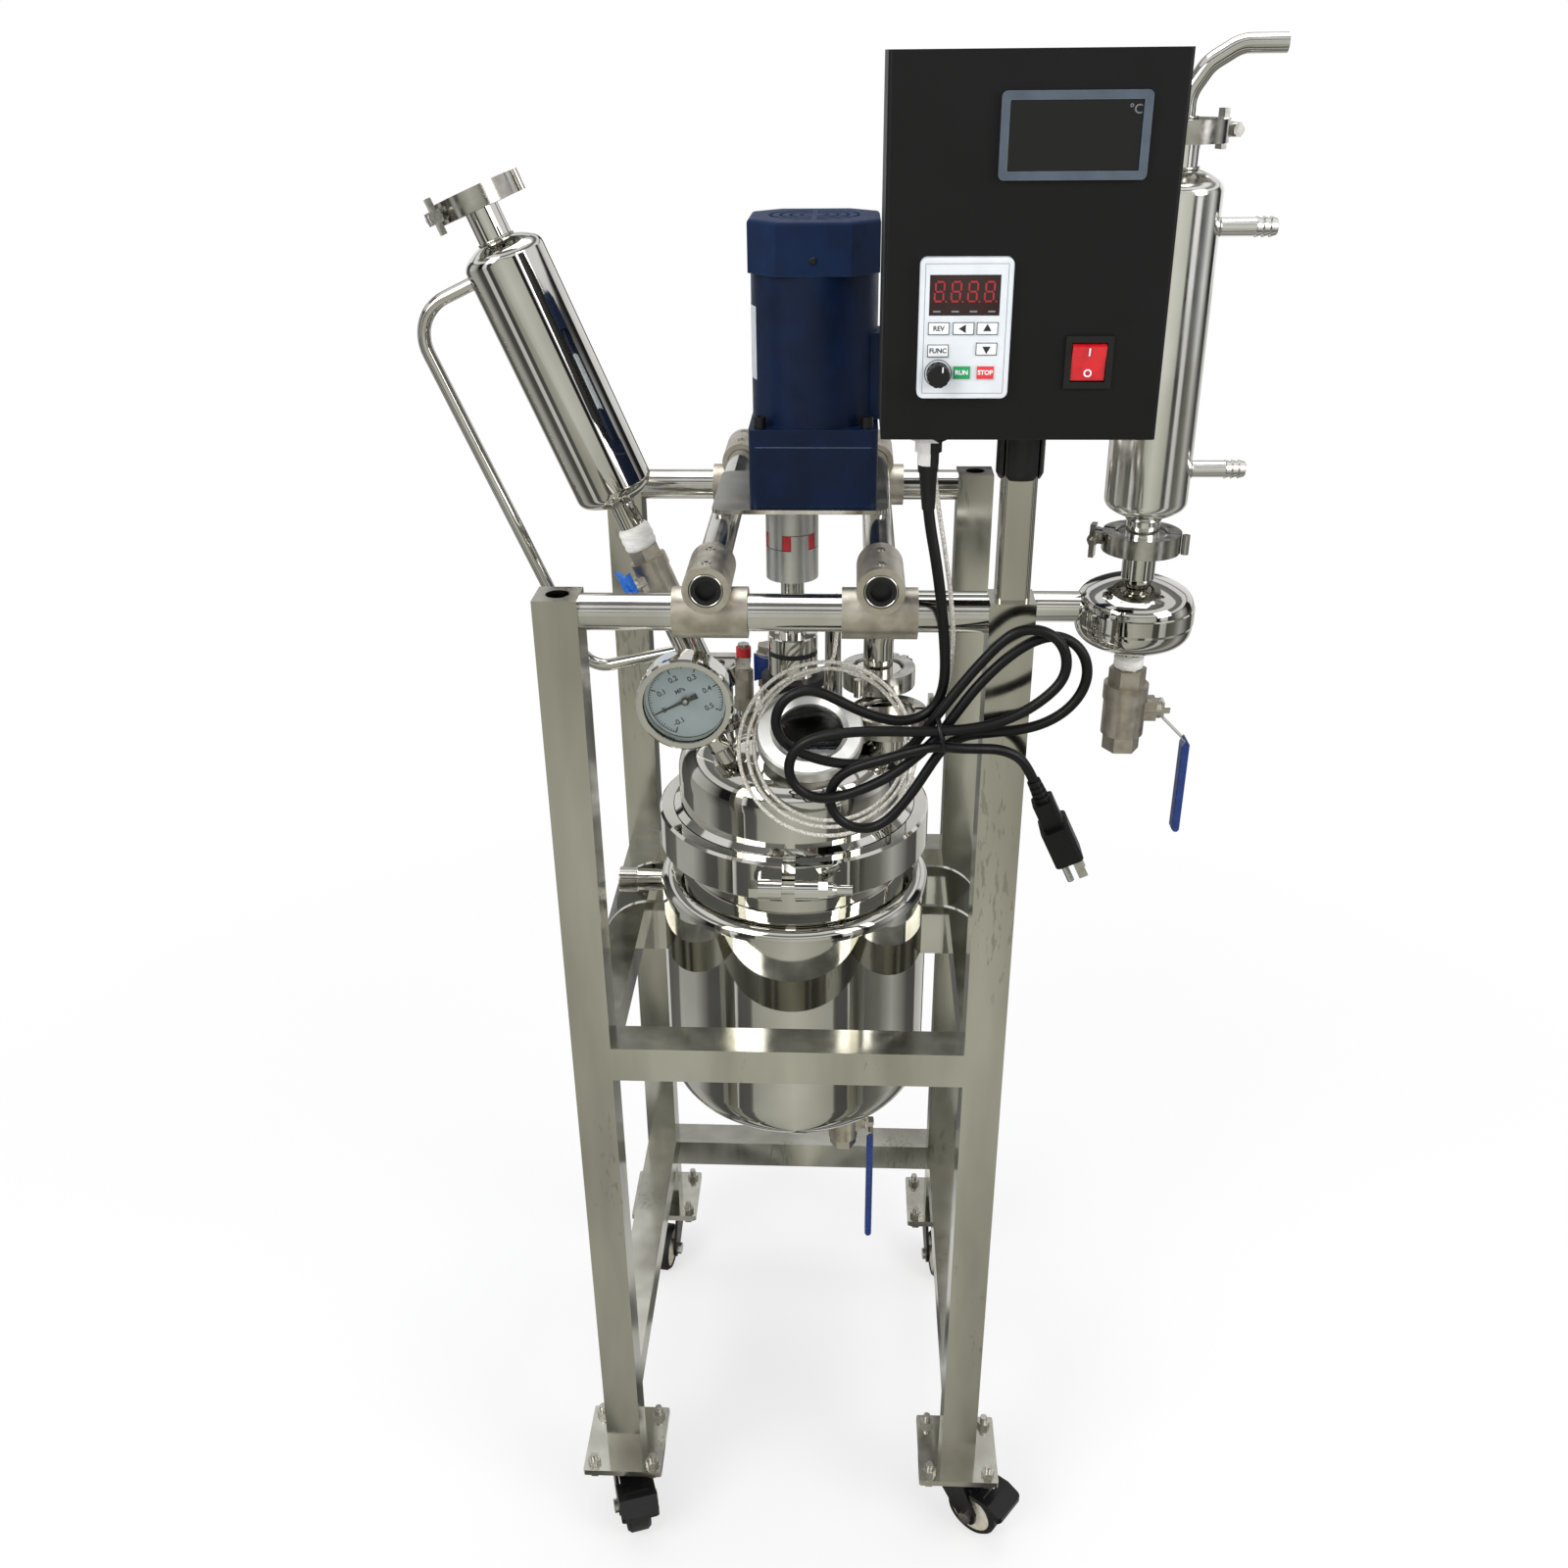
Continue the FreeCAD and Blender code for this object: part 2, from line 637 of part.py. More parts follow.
def jacket_shell():
    """Heating jacket round the vessel, and on it its threaded nipple, its drain nozzle, its support ears and their feet."""
    bottom = (38.0, 204.0)
    lid_part = (shoulder_knuckle, 9000.0)
    top = shoulder_top - head_height(jacket_radius, *lid_part)
    outer = bottle(jacket_radius, jacket_base, top, bottom, lid_part)
    w = jacket_wall
    inner = bottle(jacket_radius - w, jacket_base, top, (bottom[0] - w, bottom[1] - w),
                   (lid_part[0] - w, lid_part[1] - w))
    shell = outer.cut(inner)
    shell = shell.cut(cyl(vessel_radius + running_fit, top - 20, shoulder_top + 5))
    shell = shell.cut(cyl(drain_radius + running_fit, jacket_base - 90, jacket_base))
    end = -jacket_radius - nipple_length
    thread = rod(nipple_radius, (end, nipple_y, nipple_z), (end + thread_length, nipple_y, nipple_z))
    plain = rod(nipple_radius - 1, (end + 1, nipple_y, nipple_z), (-jacket_radius + 4, nipple_y, nipple_z))
    nipple_bore = rod(nipple_radius - 3, (end - 1, nipple_y, nipple_z),
                      (-jacket_radius + 6, nipple_y, nipple_z))
    nipple = fuse(thread, plain).cut(outer).cut(nipple_bore)
    nozzle_bore = cyl(6.5, jacket_drain_top - 1, jacket_base - 10, jacket_drain_x, jacket_drain_y)
    nozzle = cyl(9.0, jacket_drain_top, jacket_base - 20, jacket_drain_x,
                 jacket_drain_y).cut(outer).cut(nozzle_bore)
    shell = shell.cut(nipple_bore).cut(nozzle_bore)
    ears = []
    outer_x = stand_width / 2 - 5
    for side in (-1, 1):
        for y in (-ear_spacing / 2, ear_spacing / 2):
            root = math.sqrt(jacket_radius ** 2 - (abs(y) + ear_thick) ** 2) - 1.0
            ear = ear_outline(root, outer_x, mid_rail_top, ear_height)
            ear = moved(ear, 0, y - ear_thick / 2, 0)
            if side < 0:
                ear = ear.mirror(V(0, 0, 0), V(1, 0, 0))
            ears.append(ear.cut(outer))
        x0, x1 = sorted((side * (stand_width / 2 - tube + 1), side * outer_x))
        ears.append(block(x0, -ear_spacing / 2 + ear_thick / 2, mid_rail_top, x1,
                          ear_spacing / 2 - ear_thick / 2, mid_rail_top + 4))
    return [shell, nipple, nozzle] + ears


def ear_outline(x0, x1, z, height):
    """Upright gusset with a rounded shoulder, thick along Y."""
    lead = Part.LineSegment(V(x0, 0, z), V(x1, 0, z)).toShape()
    rise = Part.LineSegment(V(x1, 0, z), V(x1, 0, z + 6)).toShape()
    span = x1 - x0 - 14
    curve = Part.Arc(V(x1, 0, z + 6), V(x1 - span * 0.42, 0, z + height * 0.84),
                     V(x1 - span, 0, z + height)).toShape()
    level = Part.LineSegment(V(x1 - span, 0, z + height), V(x0, 0, z + height)).toShape()
    back = Part.LineSegment(V(x0, 0, z + height), V(x0, 0, z)).toShape()
    return Part.Face(Part.Wire([lead, rise, curve, level, back])).extrude(V(0, ear_thick, 0))


def lid_cavity():
    """The space under the lid's dome."""
    thin = vessel_radius - lid_wall
    return bottle(thin, gasket_mid - 5, lid_cylinder_top, None, (32.0 - lid_wall, 170.0 - lid_wall))


def port_tube(place, axis, reach, radius):
    """Solid stub that starts well inside the dome and ends at reach along its axis."""
    a = V(*place)
    d = V(*axis).normalize()
    return Part.makeCylinder(radius, reach + 30, a - d * 30, d)


def lean_axis(degrees):
    """Axis leant to one side, towards -X."""
    return (math.sin(math.radians(degrees)), 0, math.cos(math.radians(degrees)))


def dome_z(x, y):
    """Height of the lid's outside at a place on it."""
    crown = 170.0
    knuckle = 32.0
    drop = math.sqrt((crown - knuckle) ** 2 - (vessel_radius - knuckle) ** 2)
    r = math.hypot(x, y)
    edge = (vessel_radius - knuckle) * crown / (crown - knuckle)
    if r <= edge:
        return lid_cylinder_top + math.sqrt(crown ** 2 - r ** 2) - drop
    return lid_cylinder_top + math.sqrt(max(knuckle ** 2 - (r - vessel_radius + knuckle) ** 2, 0.0))


def lid():
    """Domed lid with its flange and welded ports."""
    face = gasket_mid + gasket_thick / 2
    outer = bottle(vessel_radius, face, lid_cylinder_top, None, (32.0, 170.0))
    collar = turned([(vessel_radius - 1, face), (flange_radius, face), (flange_radius, face + flange_edge),
                     (hub_radius, face + flange_edge + flange_slope), (hub_radius, lid_rise - 1.5),
                     (hub_radius - 2, lid_rise),
                     (vessel_radius - 1, lid_rise + 3)])
    boss = turned([(0, seal_base - 60), (boss_radius, seal_base - 60), (boss_radius, seal_base - 8),
                   (boss_radius - 1, seal_base - 7), (0, seal_base - 7)])
    ports = [boss]
    bores = [cyl(shaft_radius + 3, 600, 800)]
    sight_axis = (0, -math.sin(math.radians(sight_lean)), math.cos(math.radians(sight_lean)))
    sight = (sight_x, sight_y, dome_z(sight_x, sight_y))
    ports.append(port_tube(sight, sight_axis, sight_neck, 31.0))
    bores.append(port_tube(sight, sight_axis, sight_neck + 1, 28.5))
    gauge = (gauge_x, gauge_y, dome_z(gauge_x, gauge_y))
    ports.append(port_tube(gauge, lean_axis(gauge_lean), 8.0, 9.0))
    bores.append(port_tube(gauge, lean_axis(gauge_lean), 9.0, 5.0))
    funnel = (funnel_x, funnel_y, funnel_z)
    ports.append(port_tube(funnel, lean_axis(-funnel_lean), funnel_foot, neck_radius))
    bores.append(port_tube(funnel, lean_axis(-funnel_lean), funnel_foot + 1, neck_radius - 1.5))
    for x, y, top, radius in ((vapour_x, condenser_y, vapour_joint - ferrule_gasket / 2, neck_radius),
                              (spare_x, spare_y, spare_joint - ferrule_gasket / 2, neck_radius),
                              (relief_x, relief_y, relief_base, 7.0), (vent_x, vent_y, vent_base, 7.0),
                              (well_x, well_y, well_shoulder, 8.2)):
        ports.append(cyl(radius, lid_cylinder_top, top, x, y))
        if radius == 8.2:
            ports.append(cyl(6.8, well_shoulder - 1, well_top, x, y))
        bores.append(cyl(radius - 2.0, lid_cylinder_top - 1, top - (4 if radius == 8.2 else -1), x, y))
    body = fuse(outer, collar, *ports).cut(lid_cavity())
    body = body.cut(Part.makeCompound(bores))
    top_faces = [moved(ferrule(vapour_joint - ferrule_gasket / 2, False, neck_radius - 2), vapour_x,
                       condenser_y, 0)]
    top_faces.append(moved(ferrule(spare_joint - ferrule_gasket / 2, False, neck_radius - 2), spare_x,
                           spare_y, 0))
    foot = place_on_axis(ferrule(funnel_foot, False, neck_radius - 1.5), funnel, -funnel_lean)
    return fuse(body, foot, *top_faces)


def place_on_axis(shape, place, degrees):
    """Upright piece built at the origin, leant about Y and put at its place."""
    return moved(turned_about(shape, (0, 1, 0), degrees), *place)


def gaskets():
    """Flat ring between vessel and lid, and the black ring under the shaft seal."""
    low = gasket_mid - gasket_thick / 2
    ring = turned([(vessel_radius - vessel_wall, low), (hub_radius, low), (hub_radius, low + gasket_thick),
                   (vessel_radius - vessel_wall, low + gasket_thick)])
    seat = turned([(shaft_radius + 3, seal_base - 7), (25, seal_base - 7), (25, seal_base),
                   (shaft_radius + 3, seal_base)])
    joints = [cyl(18.0, -ferrule_gasket / 2, ferrule_gasket / 2).cut(cyl(11.0, -2, 2))]
    found = [ring, seat]
    for frame in joint_frames():
        found.append(frame(joints[0]))
    return found


def joint_frames():
    """One placing function for each clamped ferrule joint."""
    top = funnel_top_joint
    base = (funnel_x, funnel_y, funnel_z)
    frames = [lambda s: moved(s, 0, 0, drain_end - ferrule_gasket / 2)]
    frames.append(lambda s: moved(s, vapour_x, condenser_y, vapour_joint))
    frames.append(lambda s: moved(s, spare_x, spare_y, spare_joint))
    frames.append(lambda s: place_on_axis(moved(s, 0, 0, funnel_foot + ferrule_gasket / 2), base,
                                          -funnel_lean))
    frames.append(lambda s: place_on_axis(moved(s, 0, 0, top), base, -funnel_lean))
    frames.append(lambda s: moved(s, condenser_x, condenser_y, condenser_joint))
    frames.append(lambda s: moved(s, condenser_x, condenser_y, outlet_joint))
    return frames


def lid_clamp():
    """Two half rings with a vee groove round both flanges, drawn together by a bolt at the front and one at the back."""
    half = clamp_height / 2
    seat = gasket_thick / 2 + flange_edge
    rim = flange_radius + clamp_clear
    lip = hub_radius + 0.6
    slope = flange_slope * (flange_radius - lip) / (flange_radius - hub_radius) + clamp_clear
    outline = [(rim, -seat), (rim, seat), (lip, seat + slope), (lip, half), (clamp_radius - 2, half),
               (clamp_radius, half - 2)]
    outline += [(clamp_radius, 2 - half), (clamp_radius - 2, -half), (lip, -half), (lip, -seat - slope)]
    ring = moved(turned(outline), 0, 0, gasket_mid)
    g = clamp_gap / 2
    wide = clamp_radius + 20
    found = []
    for side in (-1, 1):
        x0, x1 = sorted((side * g, side * wide))
        piece = ring.common(block(x0, -wide, 0, x1, wide, 900))
        for face in (-1, 1):
            y = face * barrel_place
            end = side * (g + barrel_length)
            barrel = rod(barrel_radius, (side * g, y, gasket_mid), (end, y, gasket_mid))
            ya, yb = sorted((y, face * (clamp_radius - 3.5)))
            xa, xb = sorted((side * g, end))
            web = block(xa, ya, gasket_mid - barrel_radius, xb, yb, gasket_mid + barrel_radius)
            piece = fuse(piece, barrel, web)
            piece = piece.cut(rod(clamp_bolt_radius + 0.4, (side * (g - 1), y, gasket_mid),
                                  (end + side, y, gasket_mid)))
        found.append(piece)
    for face in (-1, 1):
        y = face * barrel_place
        out = g + barrel_length
        bolt = rod(clamp_bolt_radius, (-out - 1, y, gasket_mid), (out + 26, y, gasket_mid))
        head = turned_about(hexagon(13.0, 0, 7.0), (0, 1, 0), -90)
        nut = turned_about(hexagon(13.0, 0, 7.0), (0, 1, 0), 90)
        dome = turned([(0, 0), (6.0, 0), (6.0, 4), (4.6, 7), (0, 7)])
        dome = moved(turned_about(dome, (0, 1, 0), 90), out + 7, y, gasket_mid)
        found.append(fuse(bolt, moved(head, -out, y, gasket_mid), moved(nut, out, y, gasket_mid), dome))
    return found


def sight_place():
    axis = (0, -math.sin(math.radians(sight_lean)), math.cos(math.radians(sight_lean)))
    base = (sight_x, sight_y, dome_z(sight_x, sight_y))
    return base, axis


def on_sight(shape):
    """Upright piece put on the sight glass's neck, with its zero at the neck's end."""
    base, axis = sight_place()
    copy = turned_about(shape, (1, 0, 0), sight_lean)
    return moved(copy, *[base[i] + axis[i] * sight_neck for i in range(3)])


def sight_ring():
    outline = [(glass_radius + 0.3, 0), (sight_radius, 0), (sight_radius, sight_thick - 1.5),
               (sight_radius - 1.5, sight_thick)]
    outline += [(sight_hole + 4, sight_thick), (sight_hole, sight_thick - 3), (sight_hole, 6),
                (glass_radius + 0.3, 6)]
    return on_sight(turned(outline))


def windows():
    """Sight glass, gauge glass and the display's smoked window."""
    disc = on_sight(cyl(glass_radius, 0, 5.8))
    gauge = on_gauge(cyl(32.5, 10.0, 12.5))
    g = bezel_border + 0.3
    pane = block(bezel_x0 + g, box_y0 - 1.0, bezel_z0 + g, bezel_x1 - g, box_y0 + 0.9, bezel_z1 - g)
    return [disc, gauge, pane]


def gauge_centre():
    lean = lean_axis(gauge_lean)
    return (gauge_x + lean[0] * gauge_reach, gauge_y - 9.0,
            dome_z(gauge_x, gauge_y) + lean[2] * gauge_reach)


def on_gauge(shape):
    """Piece built face up, turned to look at -Y from the gauge's centre."""
    return moved(turned_about(shape, (1, 0, 0), 90), *gauge_centre())


def gauge_case():
    """Round case with a rolled bezel, on its hexagon stem."""
    outline = [(0, -15), (32.5, -15), (35, -12.5), (35, 7.5), (37, 9), (37, 13.5), (35.5, 15), (31.5, 15),
               (31.5, 13)]
    outline += [(33, 13), (33, 10), (31, 10), (31, 2), (0, 2)]
    cup = on_gauge(turned(outline).cut(cyl(1.0 + running_fit, -3, 3)))
    base = (gauge_x, gauge_y, dome_z(gauge_x, gauge_y))
    stem = fuse(hexagon(14.0, 8.0, 21.0), cyl(5.0, 20.0, gauge_reach - 33.0))
    stem = place_on_axis(stem, base, gauge_lean)
    return fuse(cup, stem)


def gauge_dial():
    return on_gauge(cyl(30.6, 2.0, 3.0).cut(cyl(1.5, 1, 5)))


def gauge_needle():
    """Tapered pointer with a counterweight, on its spindle."""
    hub = fuse(cyl(3.0, 4.0, 7.0), cyl(1.0, -2.5, 5.0))
    blade = prism([(0, -1.3), (25, -0.4), (25, 0.4), (0, 1.3), (-10, 2.2), (-10, -2.2)], 4.6, 5.4)
    return on_gauge(turned_about(fuse(hub, blade), (0, 0, 1), zero_angle))


def ball_valve(length, across, radius, boss):
    """Ball valve body about its own middle, its way through along Z and its spindle bored along +X."""
    h = length / 2
    body = [hexagon(across, -h, -h * 0.6), cyl(radius - 1, -h * 0.6, h * 0.25),
            cyl(radius, h * 0.25, h * 0.62)]
    body.append(hexagon(across, h * 0.62, h))
    stub = rod(radius * 0.46, (radius * 0.5, 0, 0), (boss, 0, 0))
    pad = block(radius * 0.6, -radius * 0.45, -radius * 0.45, boss - 4, radius * 0.45, radius * 0.45)
    solid = fuse(body[0], body[1], body[2], body[3], stub, pad)
    return solid.cut(cyl(radius * 0.52, -h - 1, -h * 0.3)).cut(rod(spindle_radius + running_fit,
                                                                   (radius * 0.5, 0, 0), (boss + 1, 0, 0)))


def valve_lever(radius, boss, length, rise):
    """Spindle with its nut, and a lever plate that cranks outward to its sleeve."""
    spindle = rod(spindle_radius, (radius * 0.5 + 0.5, 0, 0), (boss + 8, 0, 0))
    nut = moved(turned_about(hexagon(9.0, 0, 5.0), (0, 1, 0), 90), boss + 2.5, 0, 0)
    t = 2.2
    x = boss + 0.4
    steel = [(x, 7), (x + t, 7), (x + t, -7), (x + t + rise, -7 - rise), (x + t + rise, -16 - rise),
             (x + rise, -16 - rise), (x + rise, -6 - rise), (x, -6)]
    plate = plate_xz(steel, -6, 6)
    top = -8 - rise
    sleeve = [(x + rise - 2.2, top - 2), (x + rise + 1.2, top + 4), (x + t + rise + 2.2, top - 1),
              (x + t + rise + 2.2, 2 - length), (x + t + rise, -length)]
    sleeve += [(x + rise, -length), (x + rise - 2.2, 2 - length)]
    grip = plate_xz(sleeve, -6.5, 6.5)
    corner = [e for e in grip.Edges if abs(e.Vertexes[0].Y - e.Vertexes[1].Y) < 0.1
              and abs(e.Vertexes[0].Z - e.Vertexes[1].Z) > 40]
    grip = grip.makeFillet(1.8, corner)
    return fuse(spindle, nut, plate, grip)


def butterfly(radius, boss, span, tall):
    """Small spindle with a flat two-winged handle."""
    spindle = rod(spindle_radius, (radius * 0.5 + 0.5, 0, 0), (boss + 6, 0, 0))
    hub = rod(5.0, (boss + 0.4, 0, 0), (boss + 6, 0, 0))
    outline = [(-span / 2, -tall * 0.28), (-span * 0.2, -tall * 0.2), (span * 0.2, -tall * 0.2),
               (span / 2, -tall * 0.28)]
    outline += [(span / 2, tall * 0.72), (span * 0.1, tall * 0.55), (-span * 0.1, tall * 0.55),
                (-span / 2, tall * 0.72)]
    wings = prism(outline, 0, 3.0)
    wings = turned_about(wings, (1, 0, 0), 90)
    wings = turned_about(wings, (0, 0, 1), 90)
    return fuse(spindle, hub, moved(wings, boss + 1.5, 0, 0))


def to_pot_valve(shape):
    return moved(shape, condenser_x, condenser_y, pot_valve_z)


def to_jacket_valve(shape):
    return moved(shape, jacket_drain_x, jacket_drain_y, jacket_drain_top - jacket_valve_length / 2)


def to_vent_valve(shape):
    return moved(turned_about(shape, (0, 0, 1), -90), vent_x, vent_y, vent_base + vent_valve_length / 2)


def to_funnel(shape):
    return place_on_axis(shape, (funnel_x, funnel_y, funnel_z), -funnel_lean)


def to_funnel_valve(shape):
    return to_funnel(moved(turned_about(shape, (0, 0, 1), funnel_handle_turn), 0, 0, funnel_valve_t))


def valve_bodies():
    """Bodies of the pot, jacket, vent and funnel valves, and the relief valve."""
    relief = fuse(hexagon(15.0, relief_base, relief_base + 10),
                  cyl(7.6, relief_base + 10, relief_base + 27),
                  hexagon(13.0, relief_base + 27, relief_base + 34),
                  cyl(5.2, relief_base + 34, relief_base + relief_pivot + 2.2))
    relief = relief.cut(rod(1.5 + running_fit, (0, -9, relief_base + relief_pivot),
                            (0, 9, relief_base + relief_pivot)))
    return [to_pot_valve(ball_valve(pot_valve_length, 26.0, 18.0, 29.0)),
            to_jacket_valve(ball_valve(jacket_valve_length, 22.0, 15.0, 22.0)),
            to_vent_valve(ball_valve(vent_valve_length, 15.0, 9.5, 16.0)),
            to_funnel_valve(ball_valve(funnel_valve_length, 22.0, 15.0, 22.0)),
            moved(relief, relief_x, relief_y, 0)]


def relief_lever():
    """Lift lever forked over the relief valve's top, with its pivot pin and cap."""
    z = relief_base + relief_pivot
    cap = fuse(cyl(6.0, z + 4.4, z + 13), cyl(4.5, z + 13, z + 16))
    cheeks = [block(-6, 5.6, z - 3, 5, 7.6, z + 5), block(-6, -7.6, z - 3, 5, -5.6, z + 5)]
    bar = block(-28, -4.5, z + 4.4, 0, 4.5, z + 6.4)
    bridge = block(-6, -7.6, z + 4.4, 5, 7.6, z + 6.4)
    pin = rod(1.5, (0, -8.4, z), (0, 8.4, z))
    return moved(fuse(cap, cheeks[0], cheeks[1], bar, bridge, pin), relief_x, relief_y, 0)


def funnel_body():
    """Cylindrical dropping funnel with its lower pipe and pressure-equalizing tube, and the ferrules at both ends."""
    knuckle = (9.0, 48.0)
    rise = head_height(shell_radius, *knuckle)
    low = funnel_low + rise
    high = funnel_high - rise
    top = funnel_top_joint - ferrule_gasket / 2
    outer = bottle(shell_radius, low, high, knuckle, knuckle)
    necks = [cyl(neck_radius, high, top), cyl(10.0, funnel_valve_t + funnel_valve_length / 2, low)]
    inside = (knuckle[0] - shell_wall, knuckle[1] - shell_wall)
    cavity = bottle(shell_radius - shell_wall, low, high, inside, inside)
    shell = fuse(outer, *necks).cut(cavity)
    shell = shell.cut(cyl(neck_radius - 1.5, high - 1, top + 1)).cut(cyl(7.0, funnel_valve_t, low + 1))
    shell = fuse(shell, ferrule(top, False, neck_radius - 1.5))
    base = funnel_foot + ferrule_gasket
    stem_top = funnel_valve_t - funnel_valve_length / 2
    stem = cyl(neck_radius, base, stem_top).cut(cyl(neck_radius - 1.5, base - 1, stem_top + 1))
    stem = fuse(stem, ferrule(base, True, neck_radius - 1.5))
    side = -equalizer_offset
    points = [(1.5 - shell_radius, 0, equalizer_high), (side, 0, equalizer_high - 2),
              (side, 0, equalizer_low + 13), (1 - neck_radius, 0, equalizer_low)]
    tube_solid, _ = pipe(points, equalizer_radius, [32.0, 22.0])
    tube_solid = tube_solid.cut(outer).cut(cyl(neck_radius, base, stem_top))
    return [to_funnel(s) for s in (shell, stem, tube_solid)]


def blank_caps():
    """Blank discs on the funnel's top ferrule and on the lid's spare port."""
    disc = turned([(0, 0), (ferrule_radius, 0), (ferrule_radius, ferrule_edge),
                   (ferrule_hub, ferrule_edge + ferrule_slope), (0, ferrule_edge + ferrule_slope)])
    disc = moved(disc, 0, 0, ferrule_gasket / 2)
    return [to_funnel(moved(disc, 0, 0, funnel_top_joint)), moved(disc, spare_x, spare_y, spare_joint)]


def barb(x0, x1, y, z):
    """Hose barb along X: a plain tube with three ridges near its end."""
    sign = 1 if x1 > x0 else -1
    length = abs(x1 - x0)
    outline = [(4.0, 0), (6.2, 0), (6.2, length - 15)]
    for i in range(3):
        z0 = length - 15 + i * 5
        outline += [(7.0, z0 + 0.5), (5.8, z0 + 4.5)]
    outline += [(5.4, length), (4.0, length)]
    return moved(turned_about(turned(outline), (0, 1, 0), 90 * sign), x0, y, z)


def condenser_shell():
    """Condenser: a closed shell with necks and ferrules at both ends and two hose barbs at its side."""
    knuckle = (9.0, 48.0)
    rise = head_height(shell_radius, *knuckle)
    outer = bottle(shell_radius, condenser_base + rise, condenser_top - rise, knuckle, knuckle)
    low = condenser_joint + ferrule_gasket / 2
    high = outlet_joint - ferrule_gasket / 2
    inside = (knuckle[0] - shell_wall, knuckle[1] - shell_wall)
    cavity = bottle(shell_radius - shell_wall, condenser_base + rise, condenser_top - rise, inside, inside)
    body = fuse(outer.cut(cavity), cyl(neck_radius - 1, condenser_top - rise, high),
                cyl(neck_radius, low, condenser_base + rise))
    body = body.cut(cyl(neck_radius - 2.5, low - 1, high + 1))
    inner_tube = cyl(neck_radius, condenser_base + rise,
                     condenser_top - rise).cut(cyl(neck_radius - 2.5, low, high))
    ends = [ferrule(low, True, neck_radius - 2.5), ferrule(high, False, neck_radius - 2.5)]
    body = fuse(body, inner_tube, *ends)
    barbs = [barb(shell_radius - 2, 71.0, 0, z) for z in (barb_low, barb_high)]
    for z in (barb_low, barb_high):
        body = body.cut(rod(4.0, (shell_radius - 8, 0, z), (shell_radius + 8, 0, z)))
    barbs = [b.cut(cyl(shell_radius, condenser_base, condenser_top)) for b in barbs]
    return moved(fuse(body, *barbs), condenser_x, condenser_y, 0)


def vapour_outlet():
    """Bent outlet tube on the condenser's top ferrule."""
    base = outlet_joint + ferrule_gasket / 2
    top = base + 52.0
    points = [(0, 0, base + 1), (0, 0, base + 22), (12, 0, base + 40), (32, 0, top), (62, 0, top)]
    tube_solid, _ = pipe(points, 6.3, [24.0, 24.0, 24.0])
    foot = ferrule(base, True, 4.6)
    hub = cyl(9.0, base, base + 8)
    body = fuse(tube_solid, foot, hub)
    inner, _ = pipe([(0, 0, base - 1), (0, 0, base + 22), (12, 0, base + 40), (32, 0, top), (63, 0, top)],
                    4.8, [24.0, 24.0, 24.0])
    return moved(body.cut(inner), condenser_x, condenser_y, 0)


def receiver_pot():
    """Squat receiver with its vapour pipe, top neck and bottom nipple."""
    knuckle = (15.0, 75.0)
    rise = head_height(pot_radius, *knuckle)
    low = pot_mid - pot_half + rise
    high = pot_mid + pot_half - rise
    top = condenser_joint - ferrule_gasket / 2
    outer = bottle(pot_radius, low, high, knuckle, knuckle)
    step = turned([(pot_radius - 1.0, low - 1), (pot_radius + 0.8, low + 4), (pot_radius + 0.8, high),
                   (pot_radius - 1.0, high + 2)])
    cavity = bottle(pot_radius - 1.5, low, high, (13.5, 73.5), (13.5, 73.5))
    nipple_low = pot_valve_z + pot_valve_length / 2
    pieces = [cyl(neck_radius, high, top, 0, 0), cyl(10.0, nipple_low, low)]
    run = condenser_x - vapour_x
    foot = vapour_joint + ferrule_gasket / 2
    points = [(-run, 0, foot), (-run, 0, vapour_z), (2 - pot_radius, 0, vapour_z)]
    vapour, _ = pipe(points, vapour_radius, [vapour_bend])
    body = fuse(outer, step, *pieces).cut(cavity)
    body = body.cut(cyl(neck_radius - 1.5, high, top + 1)).cut(cyl(7.5, nipple_low - 1, low))
    vapour = vapour.cut(cavity)
    body = fuse(body, vapour)
    points = [(-run, 0, foot - 1), (-run, 0, vapour_z), (6 - pot_radius, 0, vapour_z)]
    inner, _ = pipe(points, vapour_radius - 1.5, [vapour_bend])
    body = body.cut(inner)
    body = fuse(body, ferrule(top, False, neck_radius - 1.5),
                moved(ferrule(foot, True, vapour_radius - 1.5), -run, 0, 0))
    return moved(body, condenser_x, condenser_y, 0)


def drain_ferrule():
    """Short adapter clamped under the drain, spreading to a wide lip."""
    top = drain_end - ferrule_gasket
    bore = drain_radius - drain_wall
    outline = [(bore, top), (ferrule_radius, top), (ferrule_radius, top - ferrule_edge),
               (ferrule_hub, top - ferrule_edge - ferrule_slope)]
    outline += [(drain_radius + 0.8, top - ferrule_edge - ferrule_slope), (drain_radius + 0.8, top - 13),
                (23.5, top - 21), (24.5, top - 23), (22.5, top - 23)]
    outline += [(bore, top - 14)]
    return turned(outline)


def clamps_of_joints():
    """A clamp at each ferrule joint, each turned so that its wing nut points as the list says."""
    found = []
    for frame, wing in zip(joint_frames(), wing_angles):
        for piece in ferrule_clamp(wing):
            found.append(frame(piece))
    return found


